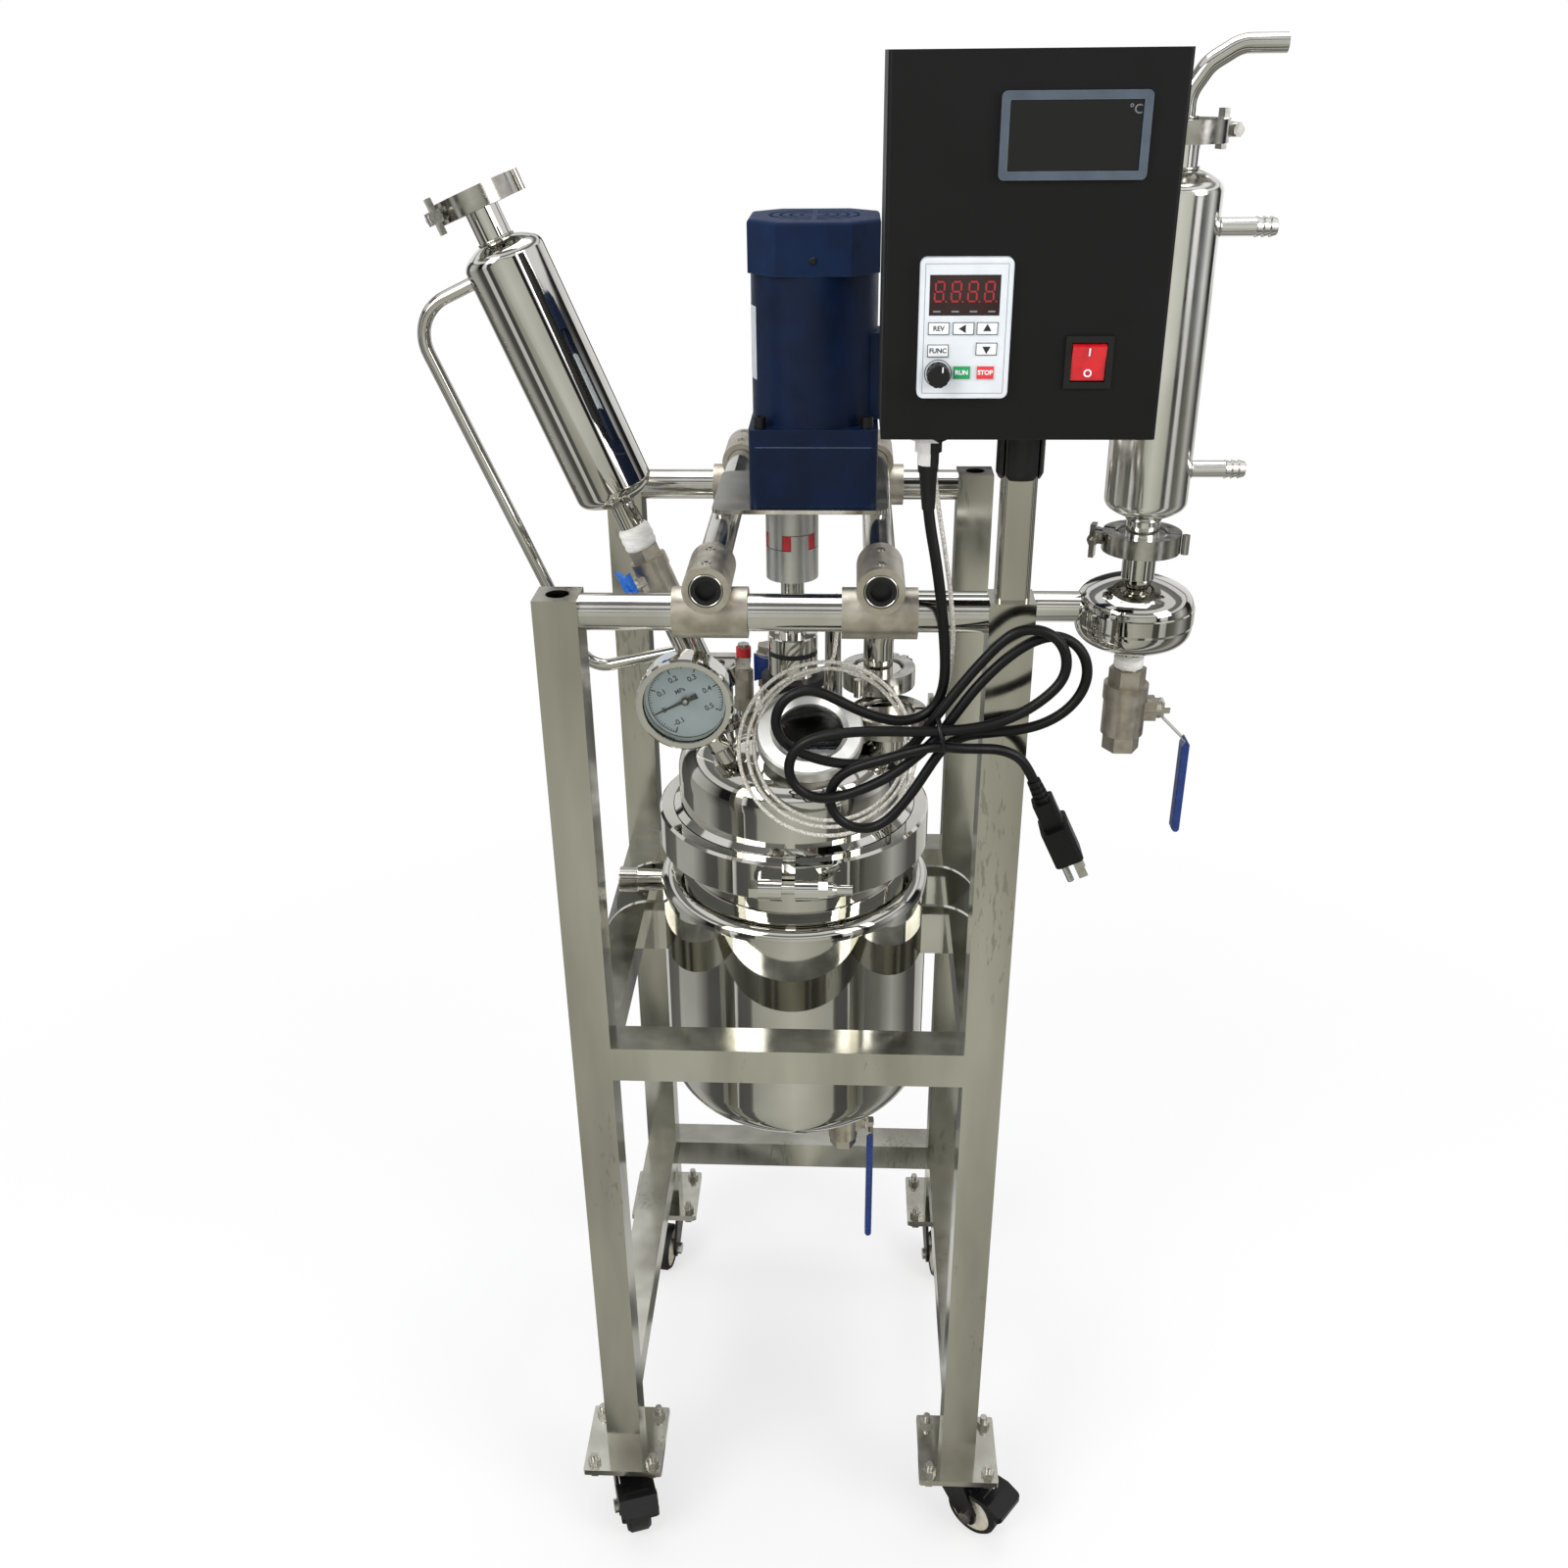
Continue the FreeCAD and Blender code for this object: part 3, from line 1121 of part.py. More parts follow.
def support_bars():
    """Round bars across the stand, and the two bars over them that carry the motor plate."""
    inside = stand_width / 2 - tube
    found = []
    for y in (-cross_bar_y, cross_bar_y):
        bar = rod(bar_radius, (-inside, y, cross_bar_z), (inside, y, cross_bar_z))
        found.append(bar.cut(rod(bar_radius - 1.5, (-inside - 1, y, cross_bar_z),
                                 (inside + 1, y, cross_bar_z))))
    for x in (side_bar_left, side_bar_right):
        bar = rod(side_bar_radius, (x, -side_bar_half, side_bar_z), (x, side_bar_half, side_bar_z))
        found.append(bar.cut(rod(side_bar_radius - 1.5, (x, -side_bar_half - 1, side_bar_z),
                                 (x, side_bar_half + 1, side_bar_z))))
    return found


def cross_clamps():
    """Cast crossover clamps: one sleeve round the cross bar and one over it round the side bar."""
    found = []
    a = bar_radius + seat_clear
    b = side_bar_radius + seat_clear
    for x in (side_bar_left, side_bar_right):
        for side in (-1, 1):
            y = side * cross_bar_y
            ya, yb = sorted((side * (side_bar_half + 2), side * (side_bar_half - 53)))
            low = rod(a + clamp_wall, (x - 25, y, cross_bar_z), (x + 25, y, cross_bar_z))
            high = rod(b + clamp_wall, (x, ya, side_bar_z), (x, yb, side_bar_z))
            neck = block(x - 9, y - 14, cross_bar_z, x + 9, y + 14, side_bar_z)
            body = fuse(low, high, neck)
            body = body.cut(rod(a, (x - 26, y, cross_bar_z), (x + 26, y, cross_bar_z)))
            body = body.cut(rod(b, (x, ya - 1, side_bar_z), (x, yb + 1, side_bar_z)))
            for place in screw_places(side):
                body = body.cut(cyl(3.3, side_bar_z + 8, side_bar_z + 20, x, place))
            found.append(body)
    return found


def screw_places(side):
    return (side * (side_bar_half - 8), side * (side_bar_half - 38))


def end_plugs():
    """Plastic plugs in the side bars' ends, and caps in the three open leg tops."""
    found = []
    for x in (side_bar_left, side_bar_right):
        for side in (-1, 1):
            y = side * side_bar_half
            cap = rod(side_bar_radius - 0.3, (x, y, side_bar_z), (x, y + side * 1.8, side_bar_z))
            stub = rod(side_bar_radius - 1.8, (x, y - side * 10, side_bar_z), (x, y, side_bar_z))
            recess = rod(side_bar_radius - 4, (x, y - side * 4, side_bar_z), (x, y + side * 3, side_bar_z))
            found.append(fuse(cap, stub).cut(recess))
    return found


def fasteners():
    """Caster bolts, the cross clamps' set screws and the gearhead's screws."""
    found = plate_bolts()
    for x in (side_bar_left, side_bar_right):
        for side in (-1, 1):
            for place in screw_places(side):
                screw = cyl(3.0, side_bar_z + side_bar_radius + 0.3,
                            side_bar_z + side_bar_radius + clamp_wall + 1.0, x, place)
                found.append(screw.cut(hexagon(3.0, side_bar_z + side_bar_radius + 3, side_bar_z + 20, x,
                                               place)))
    corner = gear_side / 2 - 8
    top = gear_base + gear_height
    for sx in (-1, 1):
        for sy in (-1, 1):
            x = gear_offset + sx * corner
            head = cyl(4.3, top, top + 8, x, sy * corner)
            found.append(head.cut(hexagon(4.0, top + 4, top + 9, x, sy * corner)))
    return found


def motor_plate():
    base = side_bar_z + side_bar_radius
    plate = round_block(plate_x0, -plate_half, base, plate_x1, plate_half, base + plate_thick, 8.0)
    return plate.cut(cyl(20.0, base - 1, base + plate_thick + 1))


def gearhead():
    """Square gear case with a lip at its upper flange and a pilot under it, bored for the output shaft."""
    h = gear_side / 2
    top = gear_base + gear_height
    case = round_block(gear_offset - h, -h, gear_base, gear_offset + h, h, top - 12.6, 6.0)
    seam = round_block(gear_offset - h + 0.8, -h + 0.8, top - 13, gear_offset + h - 0.8, h - 0.8, top - 11,
                       5.2)
    lip = round_block(gear_offset - h, -h, top - 12, gear_offset + h, h, top, 6.0)
    pilot = cyl(17.0, gear_base - plate_thick, gear_base)
    return fuse(case, seam, lip, pilot).cut(cyl(output_radius + running_fit, gear_base - plate_thick - 1,
                                                gear_base + 26))


def motor_body():
    base = gear_base + gear_height
    top = motor_top - cover_height
    can = cyl(motor_radius, base, top, gear_offset, 0)
    boss = round_block(gear_offset + 30, -20, base + 2, gear_offset + 52, 10, base + 62, 3.0)
    return fuse(can, boss)


def fan_cover():
    """Cover with cut corners, ring slots in its top and a louvre of short slots at its side."""
    h = cover_side / 2
    c = 20.0
    base = motor_top - cover_height
    points = [(-h + c, -h), (h - c, -h), (h, -h + c), (h, h - c), (h - c, h), (-h + c, h), (-h, h - c),
              (-h, -h + c)]
    points = [(x + gear_offset, y) for x, y in points]
    cover = prism(points, base, motor_top)
    rim = [e for e in cover.Edges if min(v.Z for v in e.Vertexes) > motor_top - 0.1]
    cover = cover.makeFillet(3.0, rim)
    for r in (9.0, 16.0, 23.0, 30.0):
        ring = cyl(r + 2.2, motor_top - 3, motor_top + 1, gear_offset,
                   0).cut(cyl(r - 0.6, motor_top - 4, motor_top + 2, gear_offset, 0))
        bridges = [block(gear_offset - 40, -1.6, 0, gear_offset + 40, 1.6, 1200),
                   block(gear_offset - 1.6, -40, 0, gear_offset + 1.6, 40, 1200)]
        cover = cover.cut(ring.cut(bridges[0]).cut(bridges[1]))
    return cover


def sector(radius, inner, z0, z1, start, sweep):
    """Part of a ring between two angles."""
    solid = Part.makeCylinder(radius, z1 - z0, V(0, 0, z0), UP, sweep)
    solid = solid.cut(cyl(inner, z0 - 1, z1 + 1))
    return turned_about(solid, (0, 0, 1), start)


def coupling():
    """Two jaw hubs and the star between their jaws."""
    split = 12.0
    low_top = coupling_base + 25.0
    high_base = low_top + split
    top = coupling_base + 62.0
    low = cyl(coupling_radius, coupling_base, low_top).cut(cyl(shaft_radius + 0.05, coupling_base - 1,
                                                               low_top - 3))
    high = cyl(coupling_radius, high_base, top).cut(cyl(output_radius + 0.05, high_base + 3, top + 1))
    jaws = 40.0
    for i in range(3):
        low = fuse(low, sector(coupling_radius, 9.0, low_top - 1, high_base - 0.5, 120 * i - 90, jaws))
        high = fuse(high, sector(coupling_radius, 9.0, low_top + 0.5, high_base + 1, 120 * i - 30, jaws))
    star = cyl(8.4, low_top + 0.5, high_base - 0.5).cut(cyl(4.0, low_top, high_base))
    for i in range(6):
        leg = sector(coupling_radius - 0.3, 7.0, low_top + 0.5, high_base - 0.5, 60 * i - 90 + jaws + 0.6,
                     60 - jaws - 1.2)
        star = fuse(star, leg)
    return low, high, star


def shafts():
    """The agitator's shaft and the gear case's output shaft."""
    low = cyl(shaft_radius, shaft_end, coupling_base + 22)
    high = cyl(output_radius, coupling_base + 41, gear_base + 25)
    return [low, high]


def impeller():
    """Hub with four pitched blades at the shaft's lower end."""
    hub = cyl(14.0, shaft_end + 2, shaft_end + 26).cut(cyl(shaft_radius + 0.05, shaft_end, shaft_end + 30))
    for i in range(4):
        blade = block(12, -1.3, -13, 46, 1.3, 13)
        blade = turned_about(blade, (1, 0, 0), 40)
        blade = moved(blade, 0, 0, shaft_end + 14)
        hub = fuse(hub, turned_about(blade, (0, 0, 1), 90 * i + 20))
    return hub.cut(cyl(shaft_radius + 0.05, shaft_end, shaft_end + 30))


def seal_housing():
    outline = [(shaft_radius + running_fit, seal_base), (seal_radius, seal_base),
               (seal_radius, seal_base + 19), (seal_radius - 1.6, seal_base + 19)]
    outline += [(seal_radius - 1.6, seal_base + 23), (seal_radius, seal_base + 23),
                (seal_radius, seal_top - 1), (seal_radius - 1, seal_top), (10.6, seal_top)]
    outline += [(10.6, seal_top + 10), (shaft_radius + running_fit, seal_top + 10)]
    return turned(outline)


def seal_ring():
    """Black ring in the seal housing's groove."""
    inner = seal_radius - 1.3
    return turned([(inner, seal_base + 19.3), (seal_radius - 0.2, seal_base + 19.3),
                   (seal_radius - 0.2, seal_base + 22.7), (inner, seal_base + 22.7)])


def control_box():
    """Sheet box with openings for the display, the rocker switch and the post."""
    box = round_block(box_x0, box_y0, box_z0, box_x1, box_y1, box_z1, 2.5)
    box = box.cut(block(box_x0 + 2, box_y0 + 2, box_z0 + 2, box_x1 - 2, box_y1 - 2, box_z1 - 2))
    box = box.cut(block(bezel_x0 + 3, box_y0 - 1, bezel_z0 + 3, bezel_x1 - 3, box_y0 + 3, bezel_z1 - 3))
    box = box.cut(block(rocker_x0 + 2, box_y0 - 1, rocker_z0 + 2, rocker_x1 - 2, box_y0 + 3, rocker_z1 - 2))
    h = post_side / 2 + 0.5
    return box.cut(block(post_x - h, post_y - h, box_z0 - 1, post_x + h, post_y + h, box_z0 + 3))


def panel_frames():
    """The display's bezel and the rocker switch's frame."""
    bezel = turned_about(round_block(bezel_x0, 0, 0, bezel_x1, bezel_z1 - bezel_z0, 3.2, 3.0), (1, 0, 0),
                         90)
    bezel = moved(bezel, 0, box_y0, bezel_z0)
    bezel = bezel.cut(block(bezel_x0 + bezel_border, box_y0 - 5, bezel_z0 + bezel_border,
                            bezel_x1 - bezel_border, box_y0 + 1, bezel_z1 - bezel_border))
    sleeve = block(bezel_x0 + 3.3, box_y0 - 1, bezel_z0 + 3.3, bezel_x1 - 3.3, box_y0 + 8, bezel_z1 - 3.3)
    sleeve = sleeve.cut(block(bezel_x0 + 3.45, box_y0 - 2, bezel_z0 + 3.7, bezel_x1 - 3.45, box_y0 + 9,
                              bezel_z1 - 3.7))
    back = block(bezel_x0 + 3.3, box_y0 + 1, bezel_z0 + 3.3, bezel_x1 - 3.3, box_y0 + 8, bezel_z1 - 3.3)
    frame = block(rocker_x0, box_y0 - 2, rocker_z0, rocker_x1, box_y0, rocker_z1)
    body = block(rocker_x0 + 2.3, box_y0 - 1, rocker_z0 + 2.3, rocker_x1 - 2.3, box_y0 + 18,
                 rocker_z1 - 2.3)
    well = block(rocker_x0 + 3.5, box_y0 - 3, rocker_z0 + 3.5, rocker_x1 - 3.5, box_y0 + 16,
                 rocker_z1 - 3.5)
    frame = fuse(frame, body).cut(well)
    z = (rocker_z0 + rocker_z1) / 2
    frame = frame.cut(rod(1.5 + running_fit, (rocker_x0 + 2.4, box_y0 + rocker_depth, z),
                          (rocker_x1 - 2.4, box_y0 + rocker_depth, z)))
    return [fuse(bezel, sleeve, back), frame]


def rocker_switch():
    """Rocker cap with two sloping faces, on its trunnions."""
    zm = (rocker_z0 + rocker_z1) / 2
    h = (rocker_z1 - rocker_z0) / 2 - 3.5
    ym = box_y0 + rocker_depth
    points = [(ym - 3.0, zm), (ym - 6.4, zm + h), (ym + 6, zm + h), (ym + 7.5, zm), (ym + 6, zm - h),
              (ym - 2.4, zm - h)]
    corners = [V(rocker_x0 + 3.9, y, z) for y, z in points]
    cap = Part.Face(Part.makePolygon(corners + [corners[0]])).extrude(V(rocker_x1 - rocker_x0 - 7.8, 0, 0))
    cap = cap.common(rod(h - 0.4, (rocker_x0, ym, zm), (rocker_x1, ym, zm)))
    pins = rod(1.5, (rocker_x0 + 2.7, ym, zm), (rocker_x1 - 2.7, ym, zm))
    return fuse(cap, pins)


def keypad_panel():
    """Raised keypad with its keys, its dark display and a hole for the speed knob."""
    plate = turned_about(round_block(panel_x0, 0, 0, panel_x1, panel_z1 - panel_z0, panel_thick, 4.0),
                         (1, 0, 0), 90)
    plate = moved(plate, 0, box_y0, panel_z0)
    face = box_y0 - panel_thick
    edges = [e for e in plate.Edges if max(v.Y for v in e.Vertexes) < face + 0.1]
    plate = plate.makeFillet(1.2, edges)
    plate = plate.cut(block(panel_x0 + 5.5, face - 1, panel_z1 - 31, panel_x1 - 7, face + 0.8,
                            panel_z1 - 9))
    keys = []
    for dx, dz, w, h in key_places:
        x = panel_x0 + dx
        z = panel_z0 + dz
        keys.append(block(x - w / 2, face - 0.7, z - h / 2, x + w / 2, face + 1, z + h / 2))
    plate = fuse(plate, *keys)
    return plate.cut(rod(2.5 + running_fit, (knob_x, face - 1, knob_z), (knob_x, face + 6, knob_z)))


def speed_knob():
    """Ribbed knob on its spindle."""
    face = box_y0 - panel_thick
    body = cyl(6.6, 0, 9.5)
    top = [e for e in body.Edges if min(v.Z for v in e.Vertexes) > 9]
    body = body.makeFillet(1.0, top)
    for i in range(12):
        body = body.cut(turned_about(cyl(0.9, 2.5, 10, 7.0, 0), (0, 0, 1), 30 * i))
    body = fuse(body, cyl(2.5, -5, 1))
    body = body.cut(block(-0.5, 1.5, 9.0, 0.5, 8, 10))
    body = turned_about(body, (1, 0, 0), 90)
    return moved(body, knob_x, face - 0.4, knob_z)


def cord_glands():
    """Glands under the control box for the mains cord and the sensor cable, and a blanked one."""
    z = box_z0
    mains = fuse(hexagon(20.0, z - 7, z, gland_x, gland_y), cyl(8.2, z - 14, z - 7, gland_x, gland_y),
                 cyl(6.6, gland_end, z - 14, gland_x, gland_y))
    sensor = fuse(hexagon(12.0, z - 5, z, sensor_x, sensor_y), cyl(4.0, z - 9, z - 5, sensor_x, sensor_y))
    spare = fuse(hexagon(14.0, z - 5, z, spare_gland_x, spare_gland_y),
                 cyl(5.0, z - 9, z - 5, spare_gland_x, spare_gland_y))
    return [mains, sensor, spare]


def post_socket():
    """Round socket under the control box, over the square post."""
    h = post_side / 2 + 0.3
    socket = turned([(0, socket_base), (socket_radius - 1.5, socket_base), (socket_radius, socket_base + 3),
                     (socket_radius, box_z0), (0, box_z0)])
    socket = moved(socket, post_x, post_y, 0)
    return socket.cut(block(post_x - h, post_y - h, socket_base - 1, post_x + h, post_y + h, box_z0 + 1))


def mains_plug():
    """Moulded plug with a ribbed strain relief and three pins, its zero where the cord enters."""
    relief = turned([(0, 0), (4.6, 0), (5.6, 16), (0, 16)])
    for i in range(3):
        relief = relief.cut(turned([(4.3, 3 + 4 * i), (7, 3 + 4 * i), (7, 4.6 + 4 * i),
                                    (4.3, 4.6 + 4 * i)]))
    neck = round_block(-8.5, -7.5, 16, 8.5, 7.5, 38, 3.0)
    head = round_block(-13.5, -10, 36, 13.5, 10, 64, 4.0)
    flat = [block(-7.2, 1.5, 63, -5.7, 7.8, 80), block(5.7, 1.5, 63, 7.2, 7.8, 80)]
    pin = cyl(2.4, 63, 83, 0, -5)
    body = fuse(relief, neck, head, flat[0], flat[1], pin)
    d = V(*plug_axis).normalize()
    body = turned_about(body, (0, 0, 1), 90)
    lean = math.degrees(math.atan2(d.x, d.z))
    return moved(turned_about(body, (0, 1, 0), lean), *plug_top)


def hank():
    """Outer shape of the mains cord's hung hank."""
    corners = [V(x, hank_y0, z) for x, z in hank_outline]
    return Part.Face(Part.makePolygon(corners + [corners[0]])).extrude(V(0, hank_y1 - hank_y0, 0))


def coil_point(angle):
    """Point of the sensor coil's middle line."""
    a = math.radians(angle)
    up = V(*coil_up).normalize()
    return V(*coil_centre) + V(1, 0, 0) * coil_radius * math.cos(a) + up * coil_radius * math.sin(a)


def sensor_coil():
    """Outer shape of the sensor cable's coil, with the short ends where the cable leaves it."""
    up = V(*coil_up).normalize()
    ring = Part.makeTorus(coil_radius, coil_tube, V(*coil_centre), V(1, 0, 0).cross(up))
    a = coil_point(coil_in)
    b = coil_point(coil_out)
    ends = [rod(2.4, tuple(a), sensor_lead[-1]), rod(2.4, tuple(b), sensor_tail[0])]
    return fuse(ring, *ends)


def main():
    os.makedirs("parts", exist_ok=True)
    w = (stand_width - tube) / 2
    d = (stand_depth - tube) / 2
    shapes["stand_frame"] = stand()
    shapes["support_bars"] = support_bars()
    shapes["cross_clamps"] = cross_clamps()
    shapes["end_plugs"] = end_plugs()
    shapes["bolts"] = fasteners()
    shapes["caster_plates"] = caster_plates()
    corners = (("fl", -w, -d, front_left_angle), ("fr", w, -d, front_right_angle),
               ("bl", -w, d, back_left_angle), ("br", w, d, back_right_angle))
    for name, x, y, angle in corners:
        pieces = caster(x, y, angle, name in ("fl", "fr"))
        shapes["caster_fork_" + name] = pieces[0]
        shapes["caster_wheel_" + name] = pieces[1]
        if len(pieces) > 2:
            shapes["brake_pedal_" + ("left" if name == "fl" else "right")] = pieces[2]
    shapes["jacket_shell"] = jacket_shell()
    shapes["inner_vessel"] = inner_vessel()
    shapes["gaskets"] = gaskets() + [seal_ring()]
    shapes["lid"] = lid()
    shapes["lid_clamp"] = lid_clamp()
    shapes["sight_ring"] = sight_ring()
    shapes["windows"] = windows()
    shapes["seal_housing"] = seal_housing()
    low, high, star = coupling()
    shapes["agitator_shaft"] = shafts()
    shapes["impeller"] = impeller()
    shapes["coupling_hubs"] = [low, high]
    shapes["coupling_spider"] = star
    shapes["gearhead"] = gearhead()
    shapes["motor_body"] = motor_body()
    shapes["fan_cover"] = fan_cover()
    shapes["motor_plate"] = motor_plate()
    shapes["control_box"] = control_box()
    shapes["panel_frames"] = panel_frames()
    shapes["keypad_panel"] = keypad_panel()
    shapes["speed_knob"] = speed_knob()
    shapes["rocker_switch"] = rocker_switch()
    shapes["cord_glands"] = cord_glands()
    shapes["post_socket"] = post_socket()
    shapes["funnel_body"] = funnel_body()
    shapes["blank_caps"] = blank_caps()
    shapes["funnel_valve_handle"] = to_funnel_valve(butterfly(15.0, 22.0, 24.0, 22.0))
    shapes["condenser_shell"] = condenser_shell()
    shapes["vapour_outlet"] = vapour_outlet()
    shapes["receiver_pot"] = receiver_pot()
    shapes["pot_valve_lever"] = to_pot_valve(valve_lever(18.0, 29.0, 111.0, 22.0))
    shapes["ferrule_clamps"] = clamps_of_joints()
    shapes["valve_bodies"] = valve_bodies()
    shapes["jacket_valve_lever"] = to_jacket_valve(valve_lever(15.0, 22.0, 142.0, 3.0))
    shapes["vent_lever"] = to_vent_valve(butterfly(9.5, 16.0, 20.0, 24.0))
    shapes["relief_lever"] = relief_lever()
    shapes["drain_ferrule"] = drain_ferrule()
    shapes["gauge_case"] = gauge_case()
    shapes["gauge_dial"] = gauge_dial()
    shapes["gauge_needle"] = gauge_needle()
    shapes["mains_hank"] = hank()
    shapes["mains_plug"] = mains_plug()
    shapes["sensor_coil"] = sensor_coil()
    cords = (("mains_cord", (mains_lead, mains_tail), mains_radius),
             ("sensor_cord", (sensor_lead, sensor_tail), sensor_radius))
    for name, routes, radius in cords:
        solids = []
        for points in routes:
            bends = cord_bends(points)
            solid, length = pipe(points, radius, bends)
            ratio = solid.Volume / (math.pi * radius ** 2 * length)
            print(name, "length", round(length, 1), "volume ratio", round(ratio, 4), "arc radii",
                  [round(b, 1) for b in bends])
            solids.append(solid)
        shapes[name] = solids
    solids = []
    for name, item in shapes.items():
        if not name.startswith(("mains_", "sensor_")):
            solids.append(Part.makeCompound(item) if isinstance(item, list) else item)
    box = Part.makeCompound(solids).optimalBoundingBox(False, False)
    shift = V(-(box.XMin + box.XMax) / 2, -(box.YMin + box.YMax) / 2, -box.ZMin)
    print("moved by", tuple(round(v, 3) for v in shift), "box",
          [round(v, 2) for v in (box.XLength, box.YLength, box.ZLength)])
    for name, item in shapes.items():
        shape = Part.makeCompound(item) if isinstance(item, list) else item
        shape.translate(shift)
        shape.exportStep("parts/" + name + ".step")


main()
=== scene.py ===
"""Looks of a jacketed reaction kettle on its wheeled stand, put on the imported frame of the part."""

import logging
import math
from dataclasses import dataclass
from enum import Enum
from typing import Callable, ClassVar, Iterable, Sequence

import bpy
from mathutils import Matrix, Vector


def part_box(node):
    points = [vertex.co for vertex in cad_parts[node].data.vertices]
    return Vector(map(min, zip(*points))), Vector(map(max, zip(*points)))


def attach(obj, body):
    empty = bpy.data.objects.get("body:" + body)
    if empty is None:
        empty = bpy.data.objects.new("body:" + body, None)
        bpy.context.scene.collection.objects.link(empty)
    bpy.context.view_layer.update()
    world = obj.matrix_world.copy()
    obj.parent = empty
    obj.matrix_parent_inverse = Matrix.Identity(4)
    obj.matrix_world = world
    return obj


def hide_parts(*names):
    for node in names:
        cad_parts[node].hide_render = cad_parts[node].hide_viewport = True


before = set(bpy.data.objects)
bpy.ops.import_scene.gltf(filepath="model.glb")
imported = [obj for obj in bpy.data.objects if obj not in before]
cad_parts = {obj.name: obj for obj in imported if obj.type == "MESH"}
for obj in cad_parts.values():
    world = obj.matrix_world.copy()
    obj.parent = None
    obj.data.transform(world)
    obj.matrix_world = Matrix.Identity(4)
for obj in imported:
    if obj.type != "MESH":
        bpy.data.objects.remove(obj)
LOG = logging.getLogger("kettle")
MM = 0.001
LOW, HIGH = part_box("agitator_shaft")
AXIS = Vector(((LOW[0] + HIGH[0]) / 2, (LOW[1] + HIGH[1]) / 2, 0.0))
STAND = "stand"
ALONG_X = Vector((1, 0, 0))
ALONG_Y = Vector((0, 1, 0))
ALONG_Z = Vector((0, 0, 1))
PURE_WHITE = (1, 1, 1, 1)

Point = tuple[float, float, float]
Stops = tuple[tuple[float, str], ...]
Tree = bpy.types.NodeTree
Socket = bpy.types.NodeSocket
Piece = bpy.types.Object


def at(x: float, y: float, z: float) -> Vector:
    """Point of the scene from its place about the kettle's axis.

    Args:
        x, y, z: millimetres from the kettle's axis and the floor.

    Returns:
        The point in metres, in the frame of the part.
    """
    return AXIS + Vector((x, y, z)) * MM


def linear(code: str) -> tuple[float, float, float, float]:
    """Linear colour of an sRGB code.

    Args:
        code: colour as "#rrggbb".

    Returns:
        The red, green, blue and alpha that a shader takes.
    """
    channels = [int(code[i : i + 2], 16) / 255 for i in (1, 3, 5)]
    return tuple(c / 12.92 if c <= 0.04045 else ((c + 0.055) / 1.055) ** 2.4 for c in channels) + (1.0,)


def add_node(tree: Tree, kind: str, sockets: dict | None = None, **settings) -> bpy.types.Node:
    """Add a shader node, with its sockets set or linked.

    Args:
        tree: node tree to add to.
        kind: node type.
        sockets: value, or the socket to link from, for each input by name or number.
        settings: properties of the node.

    Returns:
        The node.
    """
    node = tree.nodes.new(kind)
    for key, value in settings.items():
        setattr(node, key, value)
    for key, value in (sockets or {}).items():
        if isinstance(value, Socket):
            tree.links.new(value, node.inputs[key])
        else:
            node.inputs[key].default_value = value
    return node


def spread(tree: Tree, value: Socket, low: float, high: float, first: float = 0.0, last: float = 1.0) -> Socket:
    """Value moved from the range low to high to the range first to last, and held at its ends."""
    sockets = {"Value": value, "From Min": low, "From Max": high, "To Min": first, "To Max": last}
    return add_node(tree, "ShaderNodeMapRange", sockets).outputs[0]


def reckon(tree: Tree, operation: str, first: Socket, second: Socket | float) -> Socket:
    """Sum, product, greater value or angle of two values."""
    return add_node(tree, "ShaderNodeMath", {0: first, 1: second}, operation=operation).outputs[0]


def blend(tree: Tree, share: Socket, first: Socket | tuple, second: Socket | tuple) -> Socket:
    """Colour that goes from the first to the second as the share rises."""
    return add_node(tree, "ShaderNodeMix", {0: share, 6: first, 7: second}, data_type="RGBA").outputs[2]


def blend_shaders(tree: Tree, share: Socket, first: Socket, second: Socket) -> Socket:
    """Shader that goes from the first to the second as the share rises."""
    return add_node(tree, "ShaderNodeMixShader", {0: share, 1: first, 2: second}).outputs[0]


